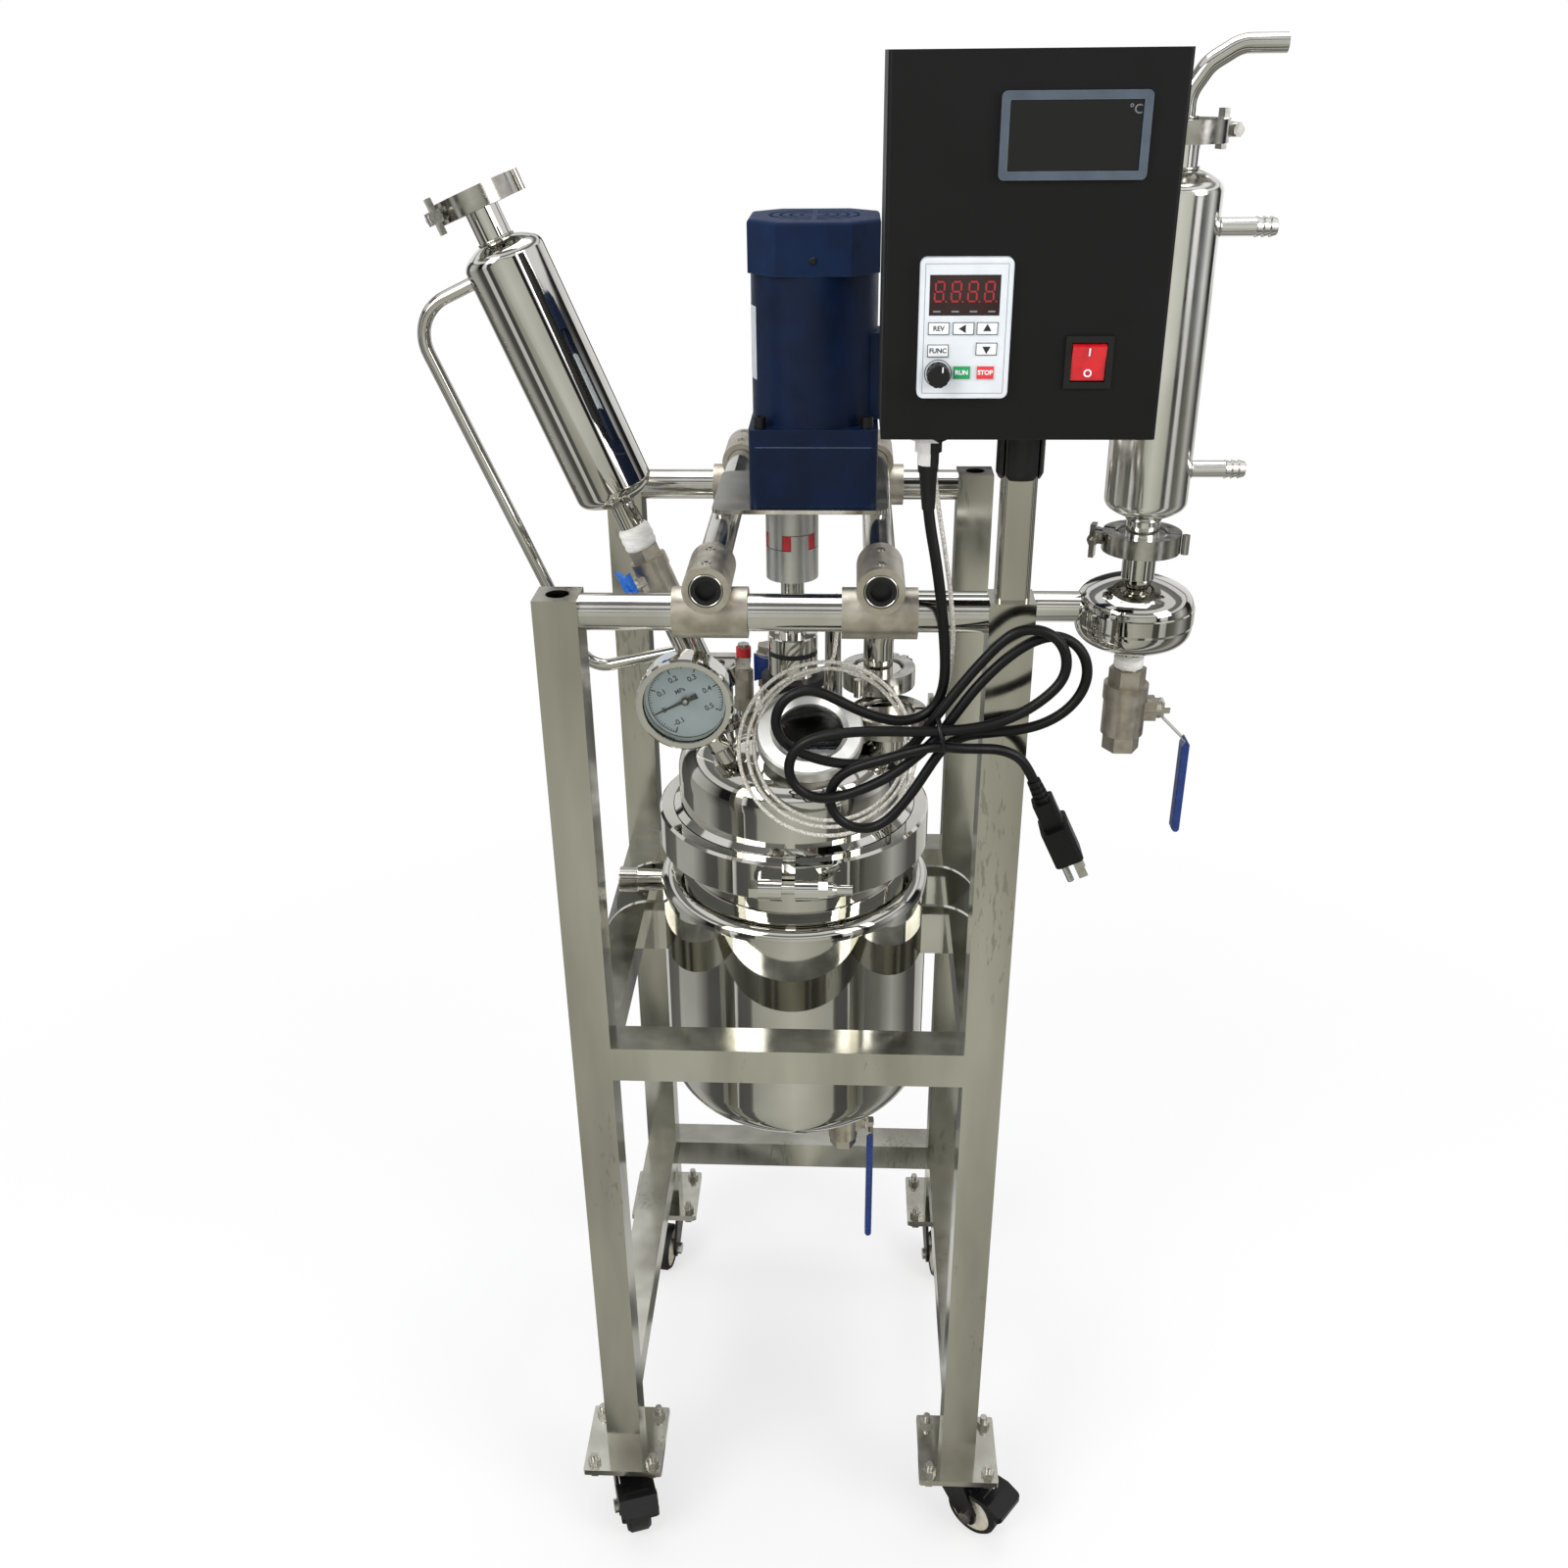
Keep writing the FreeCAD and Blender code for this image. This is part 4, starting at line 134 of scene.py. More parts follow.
@dataclass(frozen=True)
class Finish:
    """Surface of one maker's material: two tones, a gloss that varies and a fine relief.

    Attributes:
        name: the material's name.
        colour, tone: sRGB codes of the main colour and of the patches in it.
        patch: size of the patches in millimetres.
        gloss: lowest and highest roughness.
        metal: 1 for bare metal.
        grain: size of the relief's grains in millimetres.
        relief: height of the relief in millimetres.
        stretch: how much finer the patches and grains are along X, Y and Z.
        edge: sRGB code of worn edges, or none.
        marks: sRGB code of small scattered scuffs, or none.
        coat: weight of a clear coat.
        sheen: weight of a soft sheen.
        glow: strength of a painted glow, light of its own though the part is no lamp.
        clear: how much light goes through.
        shine: strength of the reflection on what isn't bare metal.
    """

    name: str
    colour: str
    tone: str
    patch: float = 40.0
    gloss: tuple[float, float] = (0.4, 0.5)
    metal: float = 0.0
    grain: float = 0.5
    relief: float = 0.01
    stretch: Point = (1.0, 1.0, 1.0)
    edge: str | None = None
    marks: str | None = None
    coat: float = 0.0
    sheen: float = 0.0
    glow: float = 0.0
    clear: float = 0.0
    shine: float = 0.5

    # Worn edges: how far the wear reaches and the size of its chips, and the levels where it begins and is full
    rub: ClassVar[float] = 0.9
    chip: ClassVar[float] = 4.0
    wear: ClassVar[tuple[float, float]] = (1.2, 1.05)
    # Scuffs: their size, the size of the areas that have them, the levels where they begin and are full
    scuff: ClassVar[float] = 3.2
    scuff_area: ClassVar[float] = 55.0
    scuff_levels: ClassVar[tuple[float, float]] = (0.375, 0.42)
    scuff_weight: ClassVar[float] = 0.6
    # Smears in the gloss, as a share of the patches in the colour
    smear: ClassVar[float] = 0.4

    def _noise(self, tree: Tree, place: Socket, size: float, detail: float) -> Socket:
        """Noise whose features are size millimetres across, stretched as the finish is."""
        scale = tuple(s / (size * MM) for s in self.stretch)
        mapped = add_node(tree, "ShaderNodeMapping", {"Vector": place, "Scale": scale}).outputs[0]
        noise = add_node(tree, "ShaderNodeTexNoise", {"Vector": mapped, "Scale": 1.0, "Detail": detail})
        return noise.outputs["Fac"]

    def _worn(self, tree: Tree, place: Socket, colour: Socket) -> Socket:
        """Colour that is rubbed through here and there along the edges."""
        bevel = add_node(tree, "ShaderNodeBevel", {"Radius": self.rub * MM}, samples=3).outputs[0]
        normal = add_node(tree, "ShaderNodeNewGeometry").outputs["Normal"]
        dot = add_node(tree, "ShaderNodeVectorMath", {0: bevel, 1: normal}, operation="DOT_PRODUCT")
        level = reckon(tree, "ADD", dot.outputs["Value"], self._noise(tree, place, self.chip, 2.0))
        return blend(tree, spread(tree, level, *self.wear), colour, linear(self.edge))

    def _scuffed(self, tree: Tree, place: Socket, colour: Socket) -> Socket:
        """Colour with small scuffs, close together in some areas and absent in others."""
        fine = self._noise(tree, place, self.scuff, 6.0)
        area = self._noise(tree, place, self.scuff_area, 1.0)
        mask = spread(tree, reckon(tree, "MULTIPLY", fine, area), *self.scuff_levels, 0.0, self.scuff_weight)
        return blend(tree, mask, colour, linear(self.marks))

    def material(self) -> bpy.types.Material:
        """The material of this finish, made once.

        Returns:
            The material with its node tree.
        """
        known = bpy.data.materials.get(self.name)
        if known and known.get("finish"):
            return known
        made = bpy.data.materials.new(self.name)
        made["finish"] = True
        made.use_nodes = True
        tree = made.node_tree
        shader = tree.nodes["Principled BSDF"].inputs
        place = add_node(tree, "ShaderNodeTexCoord").outputs["Object"]
        patches = spread(tree, self._noise(tree, place, self.patch, 3.0), 0.35, 0.65)
        colour = blend(tree, patches, linear(self.colour), linear(self.tone))
        if self.edge:
            colour = self._worn(tree, place, colour)
        if self.marks:
            colour = self._scuffed(tree, place, colour)
        tree.links.new(colour, shader["Base Color"])
        smears = self._noise(tree, place, self.patch * self.smear, 4.0)
        tree.links.new(spread(tree, smears, 0.3, 0.7, *self.gloss), shader["Roughness"])
        grains = {"Height": self._noise(tree, place, self.grain, 2.0), "Strength": 1.0, "Distance": self.relief * MM}
        tree.links.new(add_node(tree, "ShaderNodeBump", grains).outputs[0], shader["Normal"])
        shader["Metallic"].default_value = self.metal
        shader["Coat Weight"].default_value = self.coat
        shader["Sheen Weight"].default_value = self.sheen
        shader["Transmission Weight"].default_value = self.clear
        shader["Specular IOR Level"].default_value = self.shine
        if self.glow:
            shader["Emission Color"].default_value = linear(self.colour)
            shader["Emission Strength"].default_value = self.glow
        made.diffuse_color = linear(self.colour)
        return made


# Polished stainless: mirror with faint haze and long soft ripples, as on spun and buffed vessels
MIRROR = Finish("polished stainless steel", "#cfcec9", "#bdbbb4", 90, (0.02, 0.07), 1.0, 26.0, 0.04)
# Bright drawn shell of the condenser: paler than the kettle, with softer edges to what it mirrors
PALE_SHELL = Finish("bright drawn shell", "#e6e5e1", "#dbdad5", 70, (0.10, 0.17), 1.0, 20.0, 0.02)
# Buffed square tube: satin streaks along the legs, with greyer and browner handling marks
TUBE = Finish(
    "buffed stainless tube", "#c9c8be", "#a9a79d", 60, (0.10, 0.22), 1.0, 1.6, 0.006, (1.0, 1.0, 0.2), marks="#8f8c80"
)
# Drawn bar and pipe: bright with a slight haze
BAR = Finish("drawn stainless bar", "#cdccc8", "#b9b6af", 60, (0.07, 0.15), 1.0, 2.5, 0.006)
# Investment casting after tumbling: dull warm grey with a pebbled skin
CAST = Finish("tumbled cast steel", "#c6c0b4", "#a8a194", 14, (0.34, 0.48), 1.0, 0.7, 0.05)
# Ferrule clamps and weld beads: brighter than the castings, with a light orange peel
CLAMP = Finish("polished cast clamp", "#c0beb9", "#a5a29a", 18, (0.12, 0.26), 1.0, 1.2, 0.015)
# Satin ring round the sight glass: pale, with no sharp reflection
SATIN = Finish("satin steel ring", "#dcdcd9", "#cfcfcb", 24, (0.30, 0.40), 1.0, 0.6, 0.004)
# Turned aluminium hubs: pale and even, duller than the steel
ALLOY = Finish("turned aluminium", "#dededb", "#cfcfcc", 40, (0.30, 0.38), 1.0, 0.9, 0.0008)
# Plated screws and nuts: small bright parts with a greyish bloom
ZINC = Finish("zinc plated screw", "#c9c8c2", "#aeaba3", 6, (0.22, 0.36), 1.0, 0.4, 0.01)
# Motor and gear case: deep blue paint with a soft gloss, rubbed lighter at the edges
BLUE = Finish("blue enamel", "#081c3b", "#071730", 24, (0.36, 0.48), 0.0, 0.9, 0.012, edge="#2b4a6e", shine=0.2)
# Fan cover: a little brighter and duller than the paint below it, as moulded plastic is
COVER = Finish(
    "blue moulded cover", "#0a2348", "#091d3c", 20, (0.42, 0.54), 0.0, 0.35, 0.008, edge="#31557f", shine=0.2
)
# Control box: near black, flat and even, with slightly grey edges
SHEET = Finish("black powder coat", "#0b0b0c", "#080809", 50, (0.46, 0.56), 0.0, 0.5, 0.006, edge="#262627", shine=0.25)
# Black plastic of forks, pedals, plugs and knob: a faint gloss and grey corners
BLACK = Finish("black moulding", "#0c0c0d", "#09090a", 12, (0.34, 0.48), 0.0, 0.3, 0.008, edge="#202021", shine=0.4)
# Tyres and gaskets: dull black that goes greyish at a low angle
RUBBER = Finish("black rubber", "#101010", "#0b0b0b", 10, (0.5, 0.66), 0.0, 0.5, 0.01, sheen=0.05)
# Mains cord and plug: the deepest black, with a narrow soft highlight along the cord
CORD = Finish("black cord sheath", "#060607", "#040405", 16, (0.38, 0.5), 0.0, 0.8, 0.006, shine=0.3)
# Display surround: blue-grey plastic that stands out from the box; the same finish also makes the painted highlight
# along the gear case's seam
BEZEL_AND_SEAM_HIGHLIGHT = Finish("blue-grey bezel", "#4c5762", "#444e59", 14, (0.36, 0.46), 0.0, 0.3, 0.006, edge="#6b7783")
# Display window: black glass that mirrors the room weakly
SMOKED = Finish("smoked window", "#050406", "#070509", 30, (0.06, 0.1), 0.0, 6.0, 0.002, shine=0.4)
# Keypad: cool pale film
PANEL = Finish("pale keypad film", "#dfe3e6", "#d7dbdf", 14, (0.34, 0.44), 0.0, 0.35, 0.006)
# Key caps: whiter than the film round them
KEY = Finish("white key", "#f3f5f6", "#eaedef", 8, (0.3, 0.4), 0.0, 0.3, 0.004)
# Three inks: near black on keys and dial, white on dark parts, mid grey for thin outlines
PRINT = Finish("dark print", "#1f2226", "#26292d", 6, (0.4, 0.5), 0.0, 0.3, 0.002)
PALE_PRINT = Finish("pale print", "#eef1f3", "#e2e6e9", 6, (0.4, 0.5), 0.0, 0.3, 0.002)
GREY_PRINT = Finish("grey print", "#7d8288", "#70757b", 6, (0.4, 0.5), 0.0, 0.3, 0.002)
# The two coloured keys: clear green and clear red
GREEN_KEY = Finish("green key", "#1f9a5a", "#1a8b50", 6, (0.3, 0.4), 0.0, 0.3, 0.004)
RED_KEY = Finish("red key", "#e23a40", "#d5323a", 6, (0.3, 0.4), 0.0, 0.3, 0.004)
# Digit window: a glossy film so dark a red that it is nearly black
DISPLAY = Finish("red display filter", "#2a0b0d", "#1e0709", 10, (0.10, 0.18), 0.0, 2.0, 0.003, coat=0.3)
# Unlit segments: dull red, just clear of the filter, with a faint painted glow though they are no lamp
DIGIT = Finish("unlit red segment", "#a3252b", "#8f1e25", 4, (0.3, 0.4), 0.0, 0.3, 0.002, glow=0.12)
# Rocker: bright red and glossy
ROCKER = Finish("red rocker", "#d41a24", "#bf1220", 8, (0.12, 0.2), 0.0, 0.8, 0.004, coat=0.4)
# Coupling star: flat red rubber between the hubs' jaws
STAR = Finish("red elastomer", "#c9242d", "#b51d27", 6, (0.4, 0.5), 0.0, 0.4, 0.008)
# Valve levers: thick blue dip with a wet gloss and slow waves
SLEEVE = Finish("dipped blue sleeve", "#10367f", "#0d2f70", 10, (0.24, 0.34), 0.0, 1.5, 0.012, coat=0.2)
# Butterfly handle: a lighter and livelier blue than the levers
BRIGHT = Finish("bright blue handle", "#1c6fd0", "#1663c0", 8, (0.2, 0.3), 0.0, 0.6, 0.006)
# Cap of the relief valve: a small flat red spot
RED_CAP = Finish("red cap", "#c3232b", "#ad1b24", 5, (0.3, 0.4), 0.0, 0.4, 0.006)
# Sealing tape: matt warm white with fine ridges across the pipe
TAPE = Finish("sealing tape", "#f1f0ec", "#dddbd4", 5, (0.5, 0.66), 0.0, 0.9, 0.05, (0.5, 0.5, 2.5), sheen=0.1)
# White gland: plain plastic, a little warm
WHITE = Finish("white gland", "#eceae6", "#dedcd7", 6, (0.3, 0.4), 0.0, 0.4, 0.006)
# Gauge dial: flat white with a cool cast
DIAL = Finish("printed dial", "#eaf3f7", "#e1ecf1", 16, (0.4, 0.5), 0.0, 0.5, 0.002)
# Wheel hubs: matt cream
CREAM = Finish("cream hub", "#d8d2c2", "#c8c1af", 8, (0.4, 0.5), 0.0, 0.5, 0.01)
# Braided cable: light strands with darker gaps about a millimetre apart
BRAID = Finish("silver braid", "#ece9e0", "#a39d90", 1.1, (0.4, 0.55), 0.2, 0.7, 0.12)
# Blank labels: thin pale grey film
BLANK_LABEL = Finish("blank label film", "#c9ced2", "#bcc2c7", 12, (0.3, 0.4), 0.0, 0.5, 0.003)
# Sight and gauge glass: clear, with sharp reflections
GLASS = Finish("sight glass", "#f4f8f7", "#eef4f3", 30, (0.0, 0.02), 0.0, 20.0, 0.001, clear=1.0)


def deselect() -> None:
    """Leave nothing selected, so that the next operator acts on its own piece only."""
    for item in bpy.context.selected_objects:
        item.select_set(False)


def choose(*pieces: Piece) -> None:
    """Select only these pieces and make the first one active."""
    deselect()
    for piece in pieces:
        piece.select_set(True)
    bpy.context.view_layer.objects.active = pieces[0]


def settle(piece: Piece, name: str, finish: Finish, body: str = STAND) -> Piece:
    """Name, bake, dress and mount a new piece.

    Args:
        piece: object as its operators left it.
        name: name of the piece.
        finish: its finish.
        body: part of the object that it moves with.

    Returns:
        The piece, with its place in its mesh.
    """
    choose(piece)
    piece.name = name
    bpy.ops.object.transform_apply(location=True, rotation=True, scale=True)
    if piece.type == "MESH":
        bpy.ops.object.shade_smooth_by_angle(angle=math.radians(32))
    piece.data.materials.clear()
    piece.data.materials.append(finish.material())
    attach(piece, body)
    LOG.info("%s rides on %s, in %s", name, body, finish.name)
    return piece


def modify(piece: Piece, kind: str, **settings) -> None:
    """Add a modifier to a piece and apply it."""
    choose(piece)
    added = piece.modifiers.new(kind, kind)
    for key, value in settings.items():
        setattr(added, key, value)
    bpy.ops.object.modifier_apply(modifier=added.name)


def turn_from_z(direction: Vector) -> Point:
    """Angles that turn +Z to a direction."""
    return tuple(direction.to_track_quat("Z", "Y").to_euler())


def face_front(roll: float, tilt: float = 0.0) -> Point:
    """Angles that stand a flat piece up to face the front, rolled about the line of sight, in degrees."""
    stood = Matrix.Rotation(math.radians(90 + tilt), 3, "X")
    return (Matrix.Rotation(math.radians(-roll), 3, "Y") @ stood).to_euler()


def slab(
    name: str, middle: Vector, size: Sequence[float], finish: Finish, round_off: float = 0.3, body: str = STAND
) -> Piece:
    """Box with rounded edges.

    Args:
        name: name of the piece.
        middle: its middle in metres.
        size: its sides in millimetres.
        finish: its finish.
        round_off: radius of its edges in millimetres.
        body: what it rides on.

    Returns:
        The piece.
    """
    deselect()
    bpy.ops.mesh.primitive_cube_add(size=1, location=middle)
    piece = bpy.context.object
    piece.scale = [s * MM for s in size]
    bpy.ops.object.transform_apply(scale=True)
    modify(piece, "BEVEL", width=min(round_off, 0.45 * min(size)) * MM, segments=2)
    return settle(piece, name, finish, body)


def stroke(middle: Vector, size: Point, turn: float = 0.0) -> Piece:
    """One thin block of a print.

    Args:
        middle: its middle in metres.
        size: its sides in millimetres.
        turn: its turn about Y in radians.

    Returns:
        The block, to be joined with the others of its print.
    """
    bpy.ops.mesh.primitive_cube_add(size=1, location=middle, rotation=(0, turn, 0))
    made = bpy.context.object
    made.scale = [s * MM for s in size]
    return made


def print_of(name: str, strokes: Sequence[Piece], finish: Finish) -> Piece:
    """One piece from all the strokes of a print."""
    choose(*strokes)
    bpy.ops.object.join()
    return settle(bpy.context.object, name, finish)


def sleeve(
    name: str, start: Vector, end: Vector, outline: Iterable[tuple[float, float]], finish: Finish, body: str = STAND
) -> Piece:
    """Round piece about a line, from its outline of (share of the way, radius in millimetres).

    Args:
        name: name of the piece.
        start, end: ends of its axis in metres.
        outline: shares of the way and radii, from start to end.
        finish: its finish.
        body: what it rides on.

    Returns:
        The piece, closed at both ends.
    """
    steps = list(outline)
    along = end - start
    deselect()
    bpy.ops.mesh.primitive_circle_add(vertices=40, radius=steps[0][1] * MM, fill_type="NGON")
    piece = bpy.context.object
    bpy.ops.object.mode_set(mode="EDIT")
    bpy.ops.mesh.select_all(action="SELECT")
    for (last_share, last_radius), (share, radius) in zip(steps, steps[1:]):
        climb = (0, 0, (share - last_share) * along.length)
        bpy.ops.mesh.extrude_region_move(TRANSFORM_OT_translate={"value": climb})
        ratio = radius / last_radius
        bpy.ops.transform.resize(value=(ratio, ratio, 1), center_override=(0, 0, 0))
    bpy.ops.mesh.select_all(action="SELECT")
    bpy.ops.mesh.normals_make_consistent(inside=False)
    bpy.ops.object.mode_set(mode="OBJECT")
    piece.rotation_euler = turn_from_z(along)
    piece.location = start + along * steps[0][0]
    return settle(piece, name, finish, body)


def hoop(name: str, centre: Vector, axis: Vector, radius: float, thick: float, finish: Finish) -> Piece:
    """Round bead or ring about an axis, its radii in millimetres."""
    deselect()
    bpy.ops.mesh.primitive_torus_add(
        location=centre,
        rotation=turn_from_z(axis),
        major_radius=radius * MM,
        minor_radius=thick * MM,
        major_segments=72,
        minor_segments=10,
    )
    return settle(bpy.context.object, name, finish)


def lettering(
    name: str,
    text: str,
    middle: Vector,
    height: float,
    finish: Finish,
    bold: float = 0.0,
    roll: float = 0.0,
    tilt: float = 0.0,
    body: str = STAND,
) -> Piece:
    """Flat print that faces the front.

    Args:
        name: name of the piece.
        text: what it says.
        middle: its middle in metres.
        height: height of its capitals in millimetres.
        finish: its finish.
        bold: how much its strokes grow, in millimetres.
        roll: turn about the line of sight in degrees.
        tilt: how far its top leans to the front, in degrees.
        body: what it rides on.

    Returns:
        The print as a mesh.
    """
    capital_share = 0.7
    deselect()
    bpy.ops.object.text_add(location=(0, 0, 0))
    piece = bpy.context.object
    piece.data.body = text
    piece.data.align_x = "CENTER"
    piece.data.align_y = "CENTER"
    piece.data.size = height * MM / capital_share
    piece.data.offset = bold * MM
    piece.data.resolution_u = 4
    bpy.ops.object.convert(target="MESH")
    piece.rotation_euler = face_front(roll, tilt)
    piece.location = middle
    return settle(piece, name, finish, body)


def dress(node: str, finish: Finish, others: Sequence[tuple[Finish, Callable[[Vector], bool]]] = ()) -> None:
    """Give a node of the frame its finish, and other finishes to the faces of its fitted parts.

    Args:
        node: name of the node.
        finish: finish of most of it.
        others: finishes, each with a test of a face's middle in millimetres about the kettle's axis.
    """
    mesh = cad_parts[node].data
    mesh.materials.clear()
    mesh.materials.append(finish.material())
    for other, _ in others:
        mesh.materials.append(other.material())
    for face in mesh.polygons:
        middle = (face.center - AXIS) / MM
        face.material_index = next((i + 1 for i, (_, test) in enumerate(others) if test(middle)), 0)
    LOG.info("%s keeps its shape, in %s", node, finish.name)


class Corner(Enum):
    """Corners of the stand, with the place of the swivel and the way that its wheel trails."""

    FL = ("fl", -150.0, -160.0, -72.0)
    FR = ("fr", 150.0, -160.0, -38.0)
    BL = ("bl", -150.0, 160.0, -98.0)
    BR = ("br", 150.0, 160.0, -84.0)


@dataclass
class Studio:
    """Camera at the photograph's viewing angle, pale floor and soft lamps."""

    # Place in millimetres, turns in radians, focal length and picture width in pixels, sensor in millimetres
    eye: Point = (42.94, -1071.77, 1212.6)
    pitch: float = 0.4668
    yaw: float = -0.0476
    roll: float = -0.0101
    focal: float = 1483.66
    frame_width: float = 1600.0
    sensor: float = 36.0
    # What the lamps point at; name, place, side in metres and power in watts of each
    aim: Point = (40.0, 0.0, 650.0)
    lamps: tuple[tuple[str, Point, float, float], ...] = (
        ("soft box left", (-1500.0, -1700.0, 2100.0), 1.3, 34.0),
        ("soft box right", (1700.0, -1200.0, 1700.0), 1.1, 20.0),
        ("soft box above", (100.0, 300.0, 2700.0), 1.6, 26.0),
    )
    # Side of the floor, and how far back its middle is, in metres
    floor_side: float = 12.0
    floor_back: float = 1.0
    # What the steel mirrors: round the room, overhead and round the floor
    walls: Stops = (
        (0.0, "#c9cac8"), (0.03, "#8e908c"), (0.05, "#232324"), (0.085, "#1c1c1d"), (0.09, "#f6f6f6"),
        (0.125, "#ffffff"), (0.13, "#34353a"), (0.165, "#565852"), (0.17, "#b9bbb0"), (0.25, "#e2e3db"),
        (0.335, "#cfd1c7"), (0.34, "#2a2a2b"), (0.36, "#1e1e20"), (0.365, "#ffffff"), (0.405, "#f2f2f2"),
        (0.41, "#3c3d3f"), (0.45, "#77797a"), (0.5, "#e4e5e4"), (0.56, "#2b2b2d"), (0.60, "#202022"),
        (0.605, "#f5f5f5"), (0.70, "#ffffff"), (0.705, "#4c4d4e"), (0.76, "#2f3032"), (0.765, "#dfe0df"),
        (0.86, "#ffffff"), (0.865, "#303133"), (0.93, "#6d6f6e"), (0.935, "#e6e6e5"), (1.0, "#c9cac8"),
    )
    ceiling: Stops = (
        (0.0, "#2f3032"), (0.14, "#2a2b2d"), (0.16, "#ffffff"), (0.34, "#f4f4f3"), (0.36, "#7d7f7e"),
        (0.55, "#8f918f"), (0.57, "#fbfbfb"), (0.78, "#ffffff"), (0.80, "#6c6e6d"), (1.0, "#9a9c9b"),
    )
    ground: Stops = (
        (0.0, "#b5b5b0"), (0.045, "#37372f"), (0.085, "#26261f"), (0.09, "#d8d8d4"), (0.12, "#e6e6e2"),
        (0.125, "#2d2c29"), (0.155, "#3f3e38"), (0.16, "#a7a79b"), (0.25, "#d0d0c3"), (0.34, "#adada1"),
        (0.345, "#2c2b28"), (0.375, "#24231f"), (0.38, "#dcdcd8"), (0.41, "#c9c9c5"), (0.415, "#45443f"),
        (0.46, "#6a695f"), (0.5, "#b9b9b4"), (0.56, "#3a3935"), (0.6, "#2b2a27"), (0.605, "#c6c6c1"),
        (0.70, "#dededa"), (0.705, "#4a4943"), (0.76, "#34332f"), (0.765, "#bcbcb7"), (0.86, "#d2d2cd"),
        (0.865, "#3c3b36"), (0.93, "#5f5e57"), (0.935, "#b8b8b3"), (1.0, "#b5b5b0"),
    )

    def _ramp(self, tree: Tree, value: Socket, stops: Stops) -> Socket:
        """Colours along a value, from stops of (place, sRGB code)."""
        made = add_node(tree, "ShaderNodeValToRGB", {0: value})
        elements = made.color_ramp.elements
        while len(elements) < len(stops):
            elements.new(0.5)
        for element, (place, code) in zip(elements, stops):
            element.position = place
            element.color = linear(code)
        return made.outputs[0]

    def _bands_round(self, tree: Tree, place: Socket, stops: Stops) -> Socket:
        """Colours round the upright axis, from stops of (share of the turn, sRGB code)."""
        parts = add_node(tree, "ShaderNodeSeparateXYZ", {0: place}).outputs
        turn = reckon(tree, "ARCTAN2", parts["Y"], parts["X"])
        return self._ramp(tree, spread(tree, turn, -math.pi, math.pi), stops)

    def camera(self) -> None:
        """Create the camera and make it the scene's."""
        level = math.cos(self.pitch)
        forward = Vector((math.sin(self.yaw) * level, math.cos(self.yaw) * level, -math.sin(self.pitch)))
        right = Vector((math.cos(self.yaw), -math.sin(self.yaw), 0.0))
        up = right.cross(forward)
        side = right * math.cos(self.roll) + up * math.sin(self.roll)
        top = up * math.cos(self.roll) - right * math.sin(self.roll)
        data = bpy.data.cameras.new("camera")
        data.sensor_width = self.sensor
        data.lens = self.sensor * self.focal / self.frame_width
        data.clip_end = 50.0
        camera = bpy.data.objects.new("camera", data)
        bpy.context.scene.collection.objects.link(camera)
        turn = Matrix((side, top, -forward)).transposed().to_4x4()
        camera.matrix_world = Matrix.Translation(at(*self.eye)) @ turn
        bpy.context.scene.camera = camera

    def world(self) -> None:
        """White backdrop, with the dark uprights and furniture of a bright room for the steel to mirror."""
        world = bpy.data.worlds.new("bright room")
        bpy.context.scene.world = world
        world.use_nodes = True
        tree = world.node_tree
        tree.nodes.clear()
        way = add_node(tree, "ShaderNodeTexCoord").outputs["Generated"]
        height = add_node(tree, "ShaderNodeSeparateXYZ", {0: way}).outputs["Z"]
        bands = self._bands_round(tree, way, self.walls)
        ceiling = self._ramp(tree, spread(tree, height, 0.2, 1.0), self.ceiling)
        room = blend(tree, spread(tree, height, 0.24, 0.32), bands, ceiling)
        soft, mirrored, white = (
            add_node(tree, "ShaderNodeBackground", {"Color": colour, "Strength": strength}).outputs[0]
            for colour, strength in ((linear("#f2f4f6"), 0.62), (room, 1.0), (PURE_WHITE, 1.0))
        )
        path = add_node(tree, "ShaderNodeLightPath").outputs
        glossy = blend_shaders(tree, path["Is Glossy Ray"], soft, mirrored)
        seen = reckon(tree, "MAXIMUM", path["Is Camera Ray"], path["Is Transmission Ray"])
        add_node(tree, "ShaderNodeOutputWorld", {0: blend_shaders(tree, seen, glossy, white)})

    def floor(self) -> None:
        """Pale floor that stays white to the eye, keeps a soft shadow and is mirrored as dark and light bands."""
        deselect()
        middle = (AXIS.x, AXIS.y + self.floor_back, -0.5 * MM)
        bpy.ops.mesh.primitive_plane_add(size=self.floor_side, location=middle)
        floor = bpy.context.object
        floor.name = "floor"
        made = bpy.data.materials.new("pale floor")
        made.use_nodes = True
        tree = made.node_tree
        tree.nodes.clear()
        path = add_node(tree, "ShaderNodeLightPath").outputs
        place = add_node(tree, "ShaderNodeTexCoord").outputs["Object"]
        back = (0.0, self.floor_back, 0.0)
        flat = add_node(tree, "ShaderNodeVectorMath", {0: place, 1: back}, operation="ADD").outputs[0]
        reach = add_node(tree, "ShaderNodeVectorMath", {0: flat}, operation="LENGTH").outputs["Value"]
        fade = spread(tree, reach, 0.35, 1.3, 0.62, 1.0)
        matt = add_node(tree, "ShaderNodeBsdfDiffuse", {"Color": linear("#f0f0ef")}).outputs[0]
        bands = self._bands_round(tree, flat, self.ground)
        white, banded = (
            add_node(tree, "ShaderNodeEmission", {"Color": colour, "Strength": 1.0}).outputs[0]
            for colour in (PURE_WHITE, bands)
        )
        seen = reckon(tree, "MAXIMUM", path["Is Camera Ray"], path["Is Transmission Ray"])
        mixed = blend_shaders(tree, reckon(tree, "MULTIPLY", seen, fade), matt, white)
        mirrored = reckon(tree, "MULTIPLY", path["Is Glossy Ray"], 0.92)
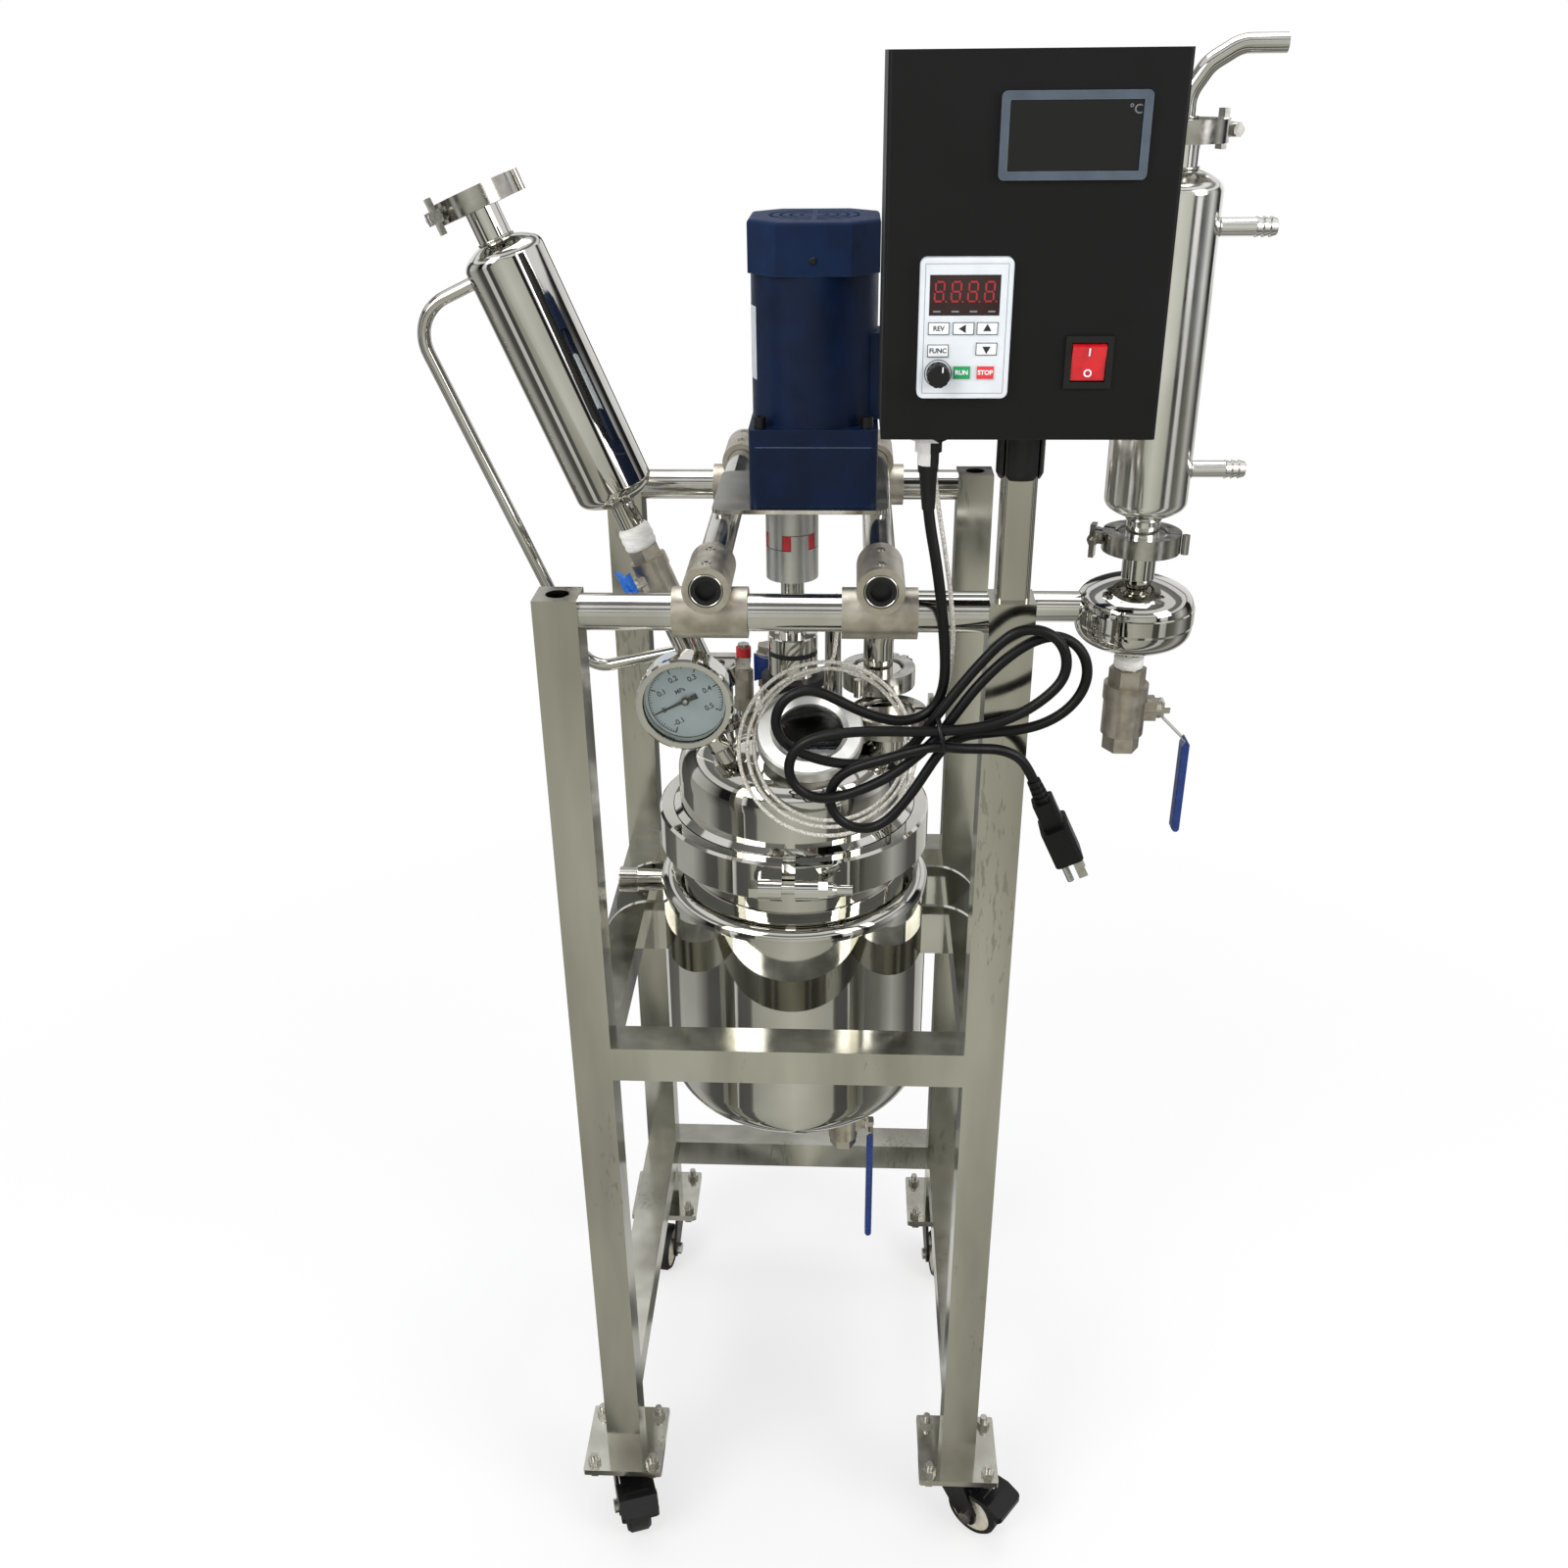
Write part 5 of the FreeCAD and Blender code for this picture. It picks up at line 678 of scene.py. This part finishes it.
        add_node(tree, "ShaderNodeOutputMaterial", {0: blend_shaders(tree, mirrored, mixed, banded)})
        floor.data.materials.append(made)

    def lamp(self, name: str, place: Vector, target: Vector, size: float, power: float) -> None:
        """Square soft box, its side in metres and its power in watts."""
        data = bpy.data.lights.new(name, "AREA")
        data.size = size
        data.energy = power
        lamp = bpy.data.objects.new(name, data)
        bpy.context.scene.collection.objects.link(lamp)
        lamp.location = place
        lamp.rotation_euler = turn_from_z(place - target)

    def build(self) -> None:
        """Camera, backdrop, floor and lamps."""
        self.camera()
        self.world()
        self.floor()
        for name, place, size, power in self.lamps:
            self.lamp(name, at(*place), at(*self.aim), size, power)
        LOG.info("studio is up")


@dataclass
class Cords:
    """Mains cord in its hung hank and braided sensor cable in its loose coil."""

    # Radii in millimetres and lengths in metres
    mains_radius: float = 3.5
    braid_radius: float = 1.5
    mains_length: float = 1.43
    braid_length: float = 1.48
    # End of the cord in the plug, the plug's direction, and where its pins begin
    plug_neck: Point = (169.0, -191.0, 773.0)
    plug_way: Point = (0.429, 0.0, -0.903)
    pins_from: float = 64.2
    # Middle of the coil, the way up in its plane, mean radius, turn in degrees and control points
    coil_centre: Point = (30.0, -73.5, 741.0)
    coil_up: Point = (0.0, 80.0, 110.0)
    coil_radius: float = 64.0
    coil_turn: float = 988.0
    coil_steps: int = 38

    def _curve(self, name: str, points: Sequence[Point], radius: float, finish: Finish) -> Piece:
        """Cord along one open spline with those control points.

        Args:
            name: name of the piece.
            points: control points in millimetres about the kettle's axis.
            radius: the cord's radius in millimetres.
            finish: its finish.

        Returns:
            The curve.
        """
        data = bpy.data.curves.new(name, "CURVE")
        data.dimensions = "3D"
        spline = data.splines.new("NURBS")
        spline.points.add(len(points) - 1)
        for point, place in zip(spline.points, points):
            point.co = (*at(*place), 1.0)
        spline.order_u = 3
        spline.use_endpoint_u = True
        spline.resolution_u = 10
        data.bevel_depth = radius * MM
        data.bevel_resolution = 4
        data.use_fill_caps = True
        data.materials.append(finish.material())
        cord = bpy.data.objects.new(name, data)
        bpy.context.scene.collection.objects.link(cord)
        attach(cord, "stand")
        return cord

    def mains(self) -> None:
        """Mains cord: down from its gland, three loops to the left and two to the right of the tie, then its plug."""
        lead = (
            (91, -185, 986), (91, -185, 968), (93.5, -186.5, 948), (98, -188.5, 926), (102, -189.5, 902),
            (105, -189, 876),
        )
        into_tie = ((107, -187, 854), (106.5, -185, 838), (102.5, -184, 825), (94, -184, 816.5), (82, -184.5, 812.8))
        first_left = (
            (68, -185.5, 814.5), (51, -186, 821), (34, -186, 830), (22, -186, 835.4), (10.1, -186, 834.4),
            (0.4, -186, 827.4), (-4.7, -186, 816.5), (-3.8, -186, 804.5), (2.9, -186, 794.5), (15.9, -186, 787.4),
            (32, -186, 782.5), (49, -186, 781), (68, -186, 783.5), (84, -187, 792),
        )
        first_right = (
            (93.5, -189, 806), (103, -193, 822), (114, -193, 838), (127, -193, 856), (145, -193, 877),
            (156.5, -193, 882), (168.6, -193.5, 881), (178.6, -194, 874.5), (184, -194, 864), (184, -195, 852),
            (178, -196, 841.5), (163, -198, 829), (145, -199.5, 820), (127.1, -200.5, 815.5),
        )
        second_left = (
            (109.5, -200.5, 813.5), (92, -200.5, 812.5), (70, -200, 812.6), (48, -199, 811.4), (33, -198.5, 809),
            (20, -198, 805.5), (10, -198, 799), (4.5, -198, 788.4), (5.1, -198, 776.6), (11.7, -198, 766.6),
            (22.4, -198, 761.2), (34.4, -198, 761.6), (47, -198, 765.5), (60, -197.5, 771), (74, -196, 778.5),
            (88.5, -192.5, 789),
        )
        second_right = (
            (104, -190, 804), (114, -192, 821), (127, -192, 841), (144.2, -190, 859.5), (161, -187, 871),
            (176, -185, 875), (189, -185, 870.5), (197.5, -185.5, 860), (200, -186, 846), (195, -187, 831.5),
            (183, -188, 818.8), (165, -188, 810), (139.5, -187, 806.3),
        )
        third_left = (
            (121, -186, 803.5), (108, -187, 795.5), (99.5, -188.5, 782), (90, -190, 765.5), (80, -191, 751),
            (70, -191, 739.5), (59, -191, 734.3), (47, -191, 735.6), (37.2, -191, 742.5), (32, -190.5, 753.2),
            (32.6, -190.5, 765.2), (39, -191, 775.4), (51, -193.5, 783.5), (71, -197, 791.5), (89, -200.5, 799),
        )
        tail = (
            (103, -202, 803), (116, -202, 801.5), (130, -198, 799.5), (145, -193, 797), (158, -191.5, 791),
            (165, -191, 781.5), self.plug_neck,
        )
        points = lead + into_tie + first_left + first_right + second_left + second_right + third_left + tail
        cord = self._curve("mains_flex", points, self.mains_radius, CORD)
        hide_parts("mains_cord", "mains_hank")
        taper = ((0, 6.4), (0.18, 6.3), (0.22, 5.6), (1.0, 4.1))
        relief = sleeve("mains_relief", at(91, -185, 987), at(92.2, -185.7, 958), taper, BLACK)
        tie = hoop("hank_tie", at(105.8, -193, 808), Vector((1, 0, 0.25)), 12.8, 1.3, BLACK)
        dress("mains_plug", CORD, ((ZINC, self._on_pin),))

    def _on_pin(self, middle: Vector) -> bool:
        """Whether a place is on the plug's metal pins."""
        return (middle - Vector(self.plug_neck)).dot(Vector(self.plug_way)) > self.pins_from

    def braid(self) -> None:
        """Braided cable: down from its gland, two and three quarter loose turns on the lid, then to the thermowell."""
        lead = (
            (96, -158, 999), (96, -158, 983), (98.5, -166, 959), (104, -175, 930), (109, -176.5, 900),
            (112.5, -176, 870), (112, -170, 842), (109, -153, 819), (105, -132, 800), (101.5, -113, 780),
            (97.5, -96, 760),
        )
        tail = (
            (34.2, -18.9, 811), (37, -3, 817), (37.5, 17, 820), (36.5, 37, 821), (33.5, 51.5, 819), (31, 60, 811),
            (31, 60, 800),
        )
        up = Vector(self.coil_up).normalized()
        out = ALONG_X.cross(up)
        turns = []
        for i in range(self.coil_steps + 1):
            share = i / self.coil_steps
            angle = math.radians(-4 - self.coil_turn * share)
            radius = self.coil_radius + 4.5 * math.sin(5.1 * share + 0.8) + 2.5 * math.sin(13 * share)
            lift = -7.0 + 12.0 * share
            place = Vector(self.coil_centre) + ALONG_X * radius * math.cos(angle) + up * radius * math.sin(angle)
            turns.append(tuple(place - out * lift))
        cord = self._curve("braided_cable", lead + tuple(turns) + tail, self.braid_radius, BRAID)
        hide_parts("sensor_cord", "sensor_coil")

    def build(self) -> None:
        """Both cords."""
        self.mains()
        self.braid()
        LOG.info("cords are laid")


@dataclass
class Steelwork:
    """Stand, kettle and pipework, which keep their shapes, with sealing tape, threads and weld beads added."""

    # Foot of the leaning funnel's axis and its lean in degrees
    funnel_foot: Point = (-64.0, 50.0, 716.0)
    funnel_lean: float = 22.3
    # Upright axis of the condenser and the receiver, and heights of the hose barbs
    condenser: tuple[float, float] = (268.5, 25.0)
    barbs: tuple[float, float] = (929.0, 1100.0)
    # Outer end of the jacket's nipple, and the ridges and length of its thread
    nipple: Point = (-151.0, 8.0, 574.0)
    thread_ridges: int = 9
    thread_length: float = 15.0
    # Places, height and half length of the two side bars
    side_bars: tuple[float, float] = (-48.0, 64.0)
    bar_height: float = 905.0
    bar_end: float = 189.6
    # Heights above which bolts are black and the two long levers are bare
    motor_bolts_above: float = 960.0
    pot_steel_above: float = 706.5
    jacket_steel_above: float = 250.0

    def on_funnel(self, along: float) -> Vector:
        """Point on the leaning funnel's axis, by its distance from the foot in millimetres."""
        lean = math.radians(self.funnel_lean)
        x, y, z = self.funnel_foot
        return at(x - along * math.sin(lean), y, z + along * math.cos(lean))

    def dress_nodes(self) -> None:
        """Give each node its steel."""
        plain = {
            TUBE: ("stand_frame",),
            BAR: ("support_bars", "agitator_shaft", "vapour_outlet", "motor_plate"),
            MIRROR: (
                "jacket_shell", "inner_vessel", "lid", "funnel_body", "receiver_pot", "gauge_case", "blank_caps",
                "seal_housing", "impeller", "drain_ferrule", "caster_plates", "lid_clamp",
            ),
            PALE_SHELL: ("condenser_shell",),
            SATIN: ("sight_ring",),
            CAST: ("cross_clamps", "valve_bodies"),
            CLAMP: ("ferrule_clamps",),
            ALLOY: ("coupling_hubs",),
            STAR: ("coupling_spider",),
            RUBBER: ("gaskets",),
            BLACK: ("end_plugs",),
            SLEEVE: ("vent_lever",),
            BRIGHT: ("funnel_valve_handle",),
        }
        for finish, nodes in plain.items():
            for node in nodes:
                dress(node, finish)
        dress("bolts", ZINC, ((BLACK, lambda p: p.z > self.motor_bolts_above),))
        dress("relief_lever", CLAMP, ((RED_CAP, lambda p: 781.6 < p.z < 788.5 and p.x > -47),))
        dress("pot_valve_lever", SLEEVE, ((BAR, lambda p: p.z > self.pot_steel_above),))
        dress("jacket_valve_lever", SLEEVE, ((BAR, lambda p: p.z > self.jacket_steel_above),))

    def tapes(self) -> None:
        """White sealing tape that stands out of the threads of the funnel's and the receiver's valves."""
        rough = (
            (0.0, 10.6), (0.08, 12.4), (0.2, 13.2), (0.34, 12.6), (0.5, 13.4), (0.66, 12.7), (0.8, 13.1), (0.93, 12.0),
            (1.0, 10.4),
        )
        sleeve("funnel_tape", self.on_funnel(153.5), self.on_funnel(173.0), rough, TAPE)
        x, y = self.condenser
        thin = ((0.0, 10.3), (0.06, 11.3), (0.3, 11.9), (0.5, 11.4), (0.72, 12.0), (0.92, 11.2), (1.0, 10.2))
        sleeve("receiver_tape", at(x, y, 768.5), at(x, y, 780.0), thin, TAPE)

    def threads(self) -> None:
        """Ridges of the nipple's thread."""
        x, y, z = self.nipple
        start, crest, root = 0.2, 11.2, 10.55
        ridges = [(0.0, 9.9)]
        for i in range(self.thread_ridges):
            for share, radius in ((0.35, crest), (0.6, crest), (0.98, root)):
                ridges.append(((i + share) / self.thread_ridges, radius))
        end = start + self.thread_length
        sleeve("nipple_thread", at(x + start, y, z), at(x + end, y, z), ridges, BAR)

    def beads(self) -> None:
        """Weld beads where the necks, the nipple and the barbs meet their shells."""
        x, y = self.condenser
        lean = (self.on_funnel(100) - self.on_funnel(0)).normalized()
        barb_root = 30.9
        beads = [
            ("neck_bead_low", at(x, y, 891.2), ALONG_Z, 12.9, 0.9),
            ("neck_bead_high", at(x, y, 1138.6), ALONG_Z, 12.2, 0.9),
            ("funnel_bead_low", self.on_funnel(193.2), lean, 10.6, 0.9),
            ("funnel_bead_high", self.on_funnel(405.8), lean, 13.2, 0.9),
            ("nipple_bead", at(-112.6, 8, 574), ALONG_X, 9.9, 1.0),
        ]
        beads += [(f"barb_bead_{int(z)}", at(x + barb_root, y, z), ALONG_X, 6.5, 0.8) for z in self.barbs]
        for name, centre, axis, radius, thick in beads:
            hoop(name, centre, axis, radius, thick, CLAMP)

    def rims(self) -> None:
        """Bright ends of the two side bars, round their black plugs."""
        for x in self.side_bars:
            for side in (-1, 1):
                end = at(x, side * self.bar_end, self.bar_height)
                hoop(f"bar_rim_{int(x)}_{side + 1}", end, ALONG_Y, 10.35, 0.6, CLAMP)

    def build(self) -> None:
        """Nodes first, then what is added to them."""
        self.dress_nodes()
        self.rims()
        self.tapes()
        self.threads()
        self.beads()
        LOG.info("steelwork is dressed")


@dataclass
class Drive:
    """Geared motor over the coupling."""

    # Upright axis and radius of the motor
    axis: tuple[float, float] = (17.0, 0.0)
    radius: float = 45.0
    # Height and middle of the label, and its span round the motor in degrees
    label_height: float = 50.0
    label_mid: float = 1029.0
    label_span: tuple[float, float] = (150.0, 205.0)
    # Half side of the gear case, height of the painted highlight strips along its seam, and height of the cover's screw
    gear_half: float = 45.9
    seam_highlight: float = 961.8
    screw_height: float = 1087.0

    def label(self) -> None:
        """Blank label film wrapped round the motor's left side."""
        deselect()
        bpy.ops.mesh.primitive_cylinder_add(
            vertices=96,
            radius=(self.radius + 0.12) * MM,
            depth=self.label_height * MM,
            end_fill_type="NOTHING",
            location=at(*self.axis, self.label_mid),
        )
        piece = bpy.context.object
        bpy.ops.object.mode_set(mode="EDIT")
        bpy.ops.mesh.select_mode(type="FACE")
        bpy.ops.mesh.select_all(action="DESELECT")
        bpy.ops.object.mode_set(mode="OBJECT")
        low, high = self.label_span
        for face in piece.data.polygons:
            turn = math.degrees(math.atan2(face.center.y, face.center.x)) % 360
            face.select = not low < turn < high
        bpy.ops.object.mode_set(mode="EDIT")
        bpy.ops.mesh.delete(type="FACE")
        bpy.ops.object.mode_set(mode="OBJECT")
        modify(piece, "SOLIDIFY", thickness=0.1 * MM, offset=1.0)
        settle(piece, "motor_label", BLANK_LABEL)

    def build(self) -> None:
        """Dress the motor and its cover, and add its label, the cover's screw and a painted highlight along the seam of
        its gear case.
        """
        dress("gearhead", BLUE)
        dress("motor_body", BLUE)
        dress("fan_cover", COVER)
        self.label()
        x, y = self.axis
        z = self.screw_height
        sleeve("cover_screw", at(x, y - 45.4, z), at(x, y - 47.0, z), ((0, 2.6), (0.5, 2.6), (1, 1.7)), BLACK)
        h = self.gear_half
        # Thin blue-grey strips on the gear case's seam: a painted highlight where light catches the seam
        for name, dx, dy, w, d in (("front", 0, -h, 82, 0.24), ("left", -h, 0, 0.24, 82), ("right", h, 0, 0.24, 82)):
            slab(f"seam_highlight_{name}", at(x + dx, y + dy, self.seam_highlight), (w, d, 0.5), BEZEL_AND_SEAM_HIGHLIGHT, 0.06)


@dataclass
class ControlBox:
    """Sheet box with its display, keypad, knob, rocker switch and glands."""

    # Front of the box, lower left corner and front of the keypad, middle and front of the knob
    face: float = -215.0
    panel: tuple[float, float] = (81.0, 1033.0)
    panel_face: float = -221.0
    knob: tuple[float, float] = (92.8, 1047.3)
    knob_top: float = -230.95
    # Sides of the digits' window, from the keypad's left
    filter_left: float = 5.5
    filter_right: float = 45.0
    # Place and size of the bars of a digit and of its point, and how far the upper bar leans to the right
    segments: tuple[tuple[float, float, float, float], ...] = (
        (0.0, 5.2, 3.8, 1.0), (0.0, 0.0, 3.8, 1.0), (0.0, -5.2, 3.8, 1.0), (2.4, 2.6, 1.0, 4.0),
        (-2.4, 2.6, 1.0, 4.0), (2.4, -2.6, 1.0, 4.0), (-2.4, -2.6, 1.0, 4.0), (4.3, -5.3, 0.9, 0.9),
    )
    digit_rise: float = 5.2
    digit_lean: float = 0.5
    # Heights above which frames and windows are the display's
    bezel_above: float = 1120.0
    smoked_above: float = 1100.0

    def dress_nodes(self) -> None:
        """Give each node its finish."""
        dress("control_box", SHEET)
        dress("panel_frames", BLACK, ((BEZEL_AND_SEAM_HIGHLIGHT, lambda p: p.z > self.bezel_above),))
        dress("keypad_panel", PANEL)
        dress("speed_knob", BLACK)
        dress("rocker_switch", ROCKER)
        dress("cord_glands", WHITE, ((BLACK, lambda p: p.x > 92 or p.y > -170),))
        dress("post_socket", BLACK)
        dress("windows", GLASS, ((SMOKED, lambda p: p.z > self.smoked_above),))

    def key(
        self,
        name: str,
        middle: tuple[float, float],
        size: tuple[float, float] = (12.0, 7.0),
        finish: Finish = KEY,
        words: str = "",
        arrow: float | None = None,
    ) -> None:
        """One key: a dark outline, a cap and its print.

        Args:
            name: name of the key.
            middle: its middle from the panel's lower left corner.
            size: its width and height in millimetres.
            finish: the cap's finish.
            words: what the cap says.
            arrow: turn of an arrow head on the cap in degrees, 0 for up.
        """
        x = self.panel[0] + middle[0]
        z = self.panel[1] + middle[1]
        y = self.panel_face - 0.75
        border = 0.9
        width, height = size
        if finish is KEY:
            slab(f"{name}_outline", at(x, y, z), (width, 0.3, height), PRINT, 0.12)
        slab(f"{name}_cap", at(x, y - 0.2, z), (width - border, 0.35, height - border), finish, 0.15)
        top = at(x, y - 0.42, z)
        if words:
            capitals, ink = (2.6, PRINT) if finish is KEY else (2.5, PALE_PRINT)
            lettering(f"{name}_word", words, top, capitals, ink, 0.12)
        if arrow is not None:
            deselect()
            bpy.ops.mesh.primitive_cylinder_add(vertices=3, radius=2.7 * MM, depth=0.1 * MM)
            piece = bpy.context.object
            piece.rotation_euler = face_front(arrow)
            piece.location = top
            settle(piece, f"{name}_arrow", PRINT)

    def digits(self) -> None:
        """Dark red filter, four unlit seven segment digits with their points, and four small marks under them."""
        left = self.panel[0] + self.filter_left
        right = self.panel[0] + self.filter_right
        middle = at((left + right) / 2, self.panel_face + 0.45, 1090.0)
        slab("led_filter", middle, (right - left - 0.3, 0.5, 21.7), DISPLAY, 0.1)
        y = self.panel_face + 0.14
        first, step, base = 5.6, 9.3, 1092.0
        bars = []
        for i in range(4):
            x = left + first + step * i
            for dx, dz, width, height in self.segments:
                lean = self.digit_lean * dz / self.digit_rise
                bars.append(stroke(at(x + dx + lean, y, base + dz), (width, 0.12, height)))
        # The unlit segments' finish gives them a faint painted glow
        print_of("led_segments", bars, DIGIT)
        for i in range(4):
            slab(f"led_mark_{i}", at(left + 4.5 + 10.2 * i, y, 1081.3), (4.2, 0.1, 0.9), GREY_PRINT, 0.04)

    def keypad(self) -> None:
        """Keys, the thin outline printed round the panel, and the knob's scale."""
        self.key("rev_key", (11.3, 39.2), words="REV")
        self.key("left_key", (25.2, 39.2), arrow=90)
        self.key("up_key", (38.6, 39.2), arrow=0)
        self.key("func_key", (11.3, 27), words="FUNC")
        self.key("down_key", (38.6, 28), arrow=180)
        self.key("run_key", (25.2, 14.9), (10.5, 8), GREEN_KEY, "RUN")
        self.key("stop_key", (38.6, 14.9), (10.5, 8), RED_KEY, "STOP")
        x, z = self.panel
        y = self.panel_face - 0.03
        lines = (
            ("low", 26, 3.2, 46, 0.3), ("high", 26, 73.8, 46, 0.3), ("left", 3.0, 38.5, 0.3, 70.6),
            ("right", 49.0, 38.5, 0.3, 70.6),
        )
        for name, dx, dz, width, height in lines:
            slab(f"panel_line_{name}", at(x + dx, y, z + dz), (width, 0.08, height), GREY_PRINT, 0.03)
        x, z = self.knob
        hoop("knob_scale", at(x, y, z), ALONG_Y, 7.6, 0.22, PRINT)
        line = at(x + 2.2, self.knob_top, z + 3.8)
        slab("knob_line", line, (0.7, 0.12, 3.2), PALE_PRINT, 0.03, "speed_knob_body")

    def marks(self) -> None:
        """Degree mark of the display window and the line and ring of the rocker."""
        lettering("degree_mark", "\u00b0C", at(192.6, self.face - 1.12, 1183.5), 4.6, GREY_PRINT, 0.05)
        rocker = "rocker_switch_body"
        lettering("rocker_on", "I", at(178.5, -218.35, 1058.3), 4.6, PALE_PRINT, 0.15, tilt=17, body=rocker)
        lettering("rocker_off", "O", at(178.5, -216.1, 1046.2), 4.2, PALE_PRINT, 0.15, tilt=-3, body=rocker)

    def build(self) -> None:
        """Box, display, keypad and marks."""
        self.dress_nodes()
        self.digits()
        self.keypad()
        self.marks()
        LOG.info("control box is dressed")


@dataclass
class Gauge:
    """Pressure gauge with its printed dial."""

    # Middle and front of the dial; its turn and the angles of zero and of one tenth, in degrees
    centre: tuple[float, float] = (-79.2, 774.0)
    face: float = -62.06
    turn: float = 28.0
    zero: float = 208.0
    step: float = 45.0
    # Outer radius of the marks, short marks in one tenth, and angle of one piece of the arc
    rim: float = 28.2
    short_marks: int = 10
    arc_step: float = 5.0
    numbers: tuple[str, ...] = ("-0.1", "0", "0.1", "0.2", "0.3", "0.4", "0.5")
    # Angle, depth and radius of the round sticker
    sticker_angle: float = 112.0
    sticker_y: float = -56.0
    sticker_radius: float = 7.5

    def place(self, angle: float, radius: float) -> Vector:
        """Point of the dial by its angle, counted from the right and against the clock, and its radius."""
        a = math.radians(angle)
        return at(self.centre[0] + radius * math.cos(a), self.face, self.centre[1] + radius * math.sin(a))

    def scale(self) -> None:
        """Arc, long marks at the tenths, short marks between them, and their numbers."""
        start = self.zero + self.step
        tenths = len(self.numbers) - 1
        height = 0.06
        marks = []
        deselect()
        for i in range(tenths * self.short_marks + 1):
            angle = start - i * self.step / self.short_marks
            long = i % self.short_marks == 0
            inner = 23.6 if long else 25.4 if i % (self.short_marks // 2) == 0 else 26.4
            size = (self.rim - inner, height, 1.0 if long else 0.5)
            marks.append(stroke(self.place(angle, (inner + self.rim) / 2), size, -math.radians(angle)))
        for i in range(int(tenths * self.step / self.arc_step)):
            angle = start - (i + 0.5) * self.arc_step
            marks.append(stroke(self.place(angle, self.rim), (0.55, height, 2.6), -math.radians(angle)))
        print_of("dial_marks", marks, PRINT)
        for i, number in enumerate(self.numbers):
            angle = self.zero + self.step * (1 - i)
            lettering(f"dial_number_{i}", number, self.place(angle, 18.8), 4.2, PRINT, 0.16, self.turn)
        lettering("dial_unit", "MPa", self.place(90 + self.turn, 8.6), 3.4, PRINT, 0.12, self.turn)

    def sticker(self) -> None:
        """Blank round sticker on top of the case."""
        a = math.radians(self.sticker_angle)
        out = Vector((math.cos(a), 0.0, math.sin(a)))
        x, z = self.centre
        above = 36.0
        deselect()
        bpy.ops.mesh.primitive_circle_add(
            vertices=48,
            radius=self.sticker_radius * MM,
            fill_type="TRIFAN",
            location=at(x, self.sticker_y, z) + out * above * MM,
            rotation=turn_from_z(out),
        )
        piece = bpy.context.object
        modify(
            piece,
            "SHRINKWRAP",
            target=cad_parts["gauge_case"],
            wrap_method="PROJECT",
            use_negative_direction=True,
            use_positive_direction=False,
            use_project_z=True,
            offset=0.3 * MM,
        )
        settle(piece, "gauge_sticker", BLANK_LABEL)

    def build(self) -> None:
        """Dial, needle and prints."""
        dress("gauge_dial", DIAL)
        dress("gauge_needle", BLACK)
        self.scale()
        self.sticker()
        x, z = self.centre
        cap = ((0, 1.8), (0.6, 1.8), (1, 1.2))
        sleeve("needle_hub", at(x, -66.1, z), at(x, -66.9, z), cap, ZINC, "gauge_needle_body")
        LOG.info("gauge is printed")


@dataclass
class Casters:
    """Swivel casters: black forks and pedals, rubber wheels on cream hubs, plated axle nuts."""

    # Distance of the axle behind the swivel, radii of wheel and hub, where the nut begins, and its radius
    trail: float = 24.0
    wheel_radius: float = 25.0
    hub_radius: float = 19.9
    nut_from: float = 16.05
    nut_radius: float = 8.0

    def build(self) -> None:
        """Dress each caster by the distance of its faces from the axle."""
        for corner in Corner:
            name, x, y, angle = corner.value
            turn = math.radians(angle)
            hub = Vector((x + self.trail * math.cos(turn), y + self.trail * math.sin(turn), self.wheel_radius))
            axle = Vector((-math.sin(turn), math.cos(turn), 0.0))

            def on_nut(place: Vector, hub: Vector = hub, axle: Vector = axle) -> bool:
                """Whether a place of the fork is on the nut of its axle."""
                along = (place - hub).dot(axle)
                off = (place - hub - axle * along).length
                return abs(along) > self.nut_from and off < self.nut_radius

            def on_hub(place: Vector, hub: Vector = hub, axle: Vector = axle) -> bool:
                """Whether a place of the wheel is on its hub."""
                along = (place - hub).dot(axle)
                return (place - hub - axle * along).length < self.hub_radius

            dress("caster_fork_" + name, BLACK, ((ZINC, on_nut),))
            dress("caster_wheel_" + name, RUBBER, ((CREAM, on_hub),))
        dress("brake_pedal_left", BLACK)
        dress("brake_pedal_right", BLACK)
        LOG.info("casters are dressed")


def main() -> None:
    """Build the scene in order."""
    logging.basicConfig(level=logging.INFO, format="%(message)s")
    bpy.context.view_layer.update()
    bpy.context.scene.view_settings.view_transform = "Standard"
    Studio().build()
    Cords().build()
    for assembly in (Steelwork(), Drive(), ControlBox(), Gauge(), Casters()):
        assembly.build()


if __name__ == "__main__":
    main()
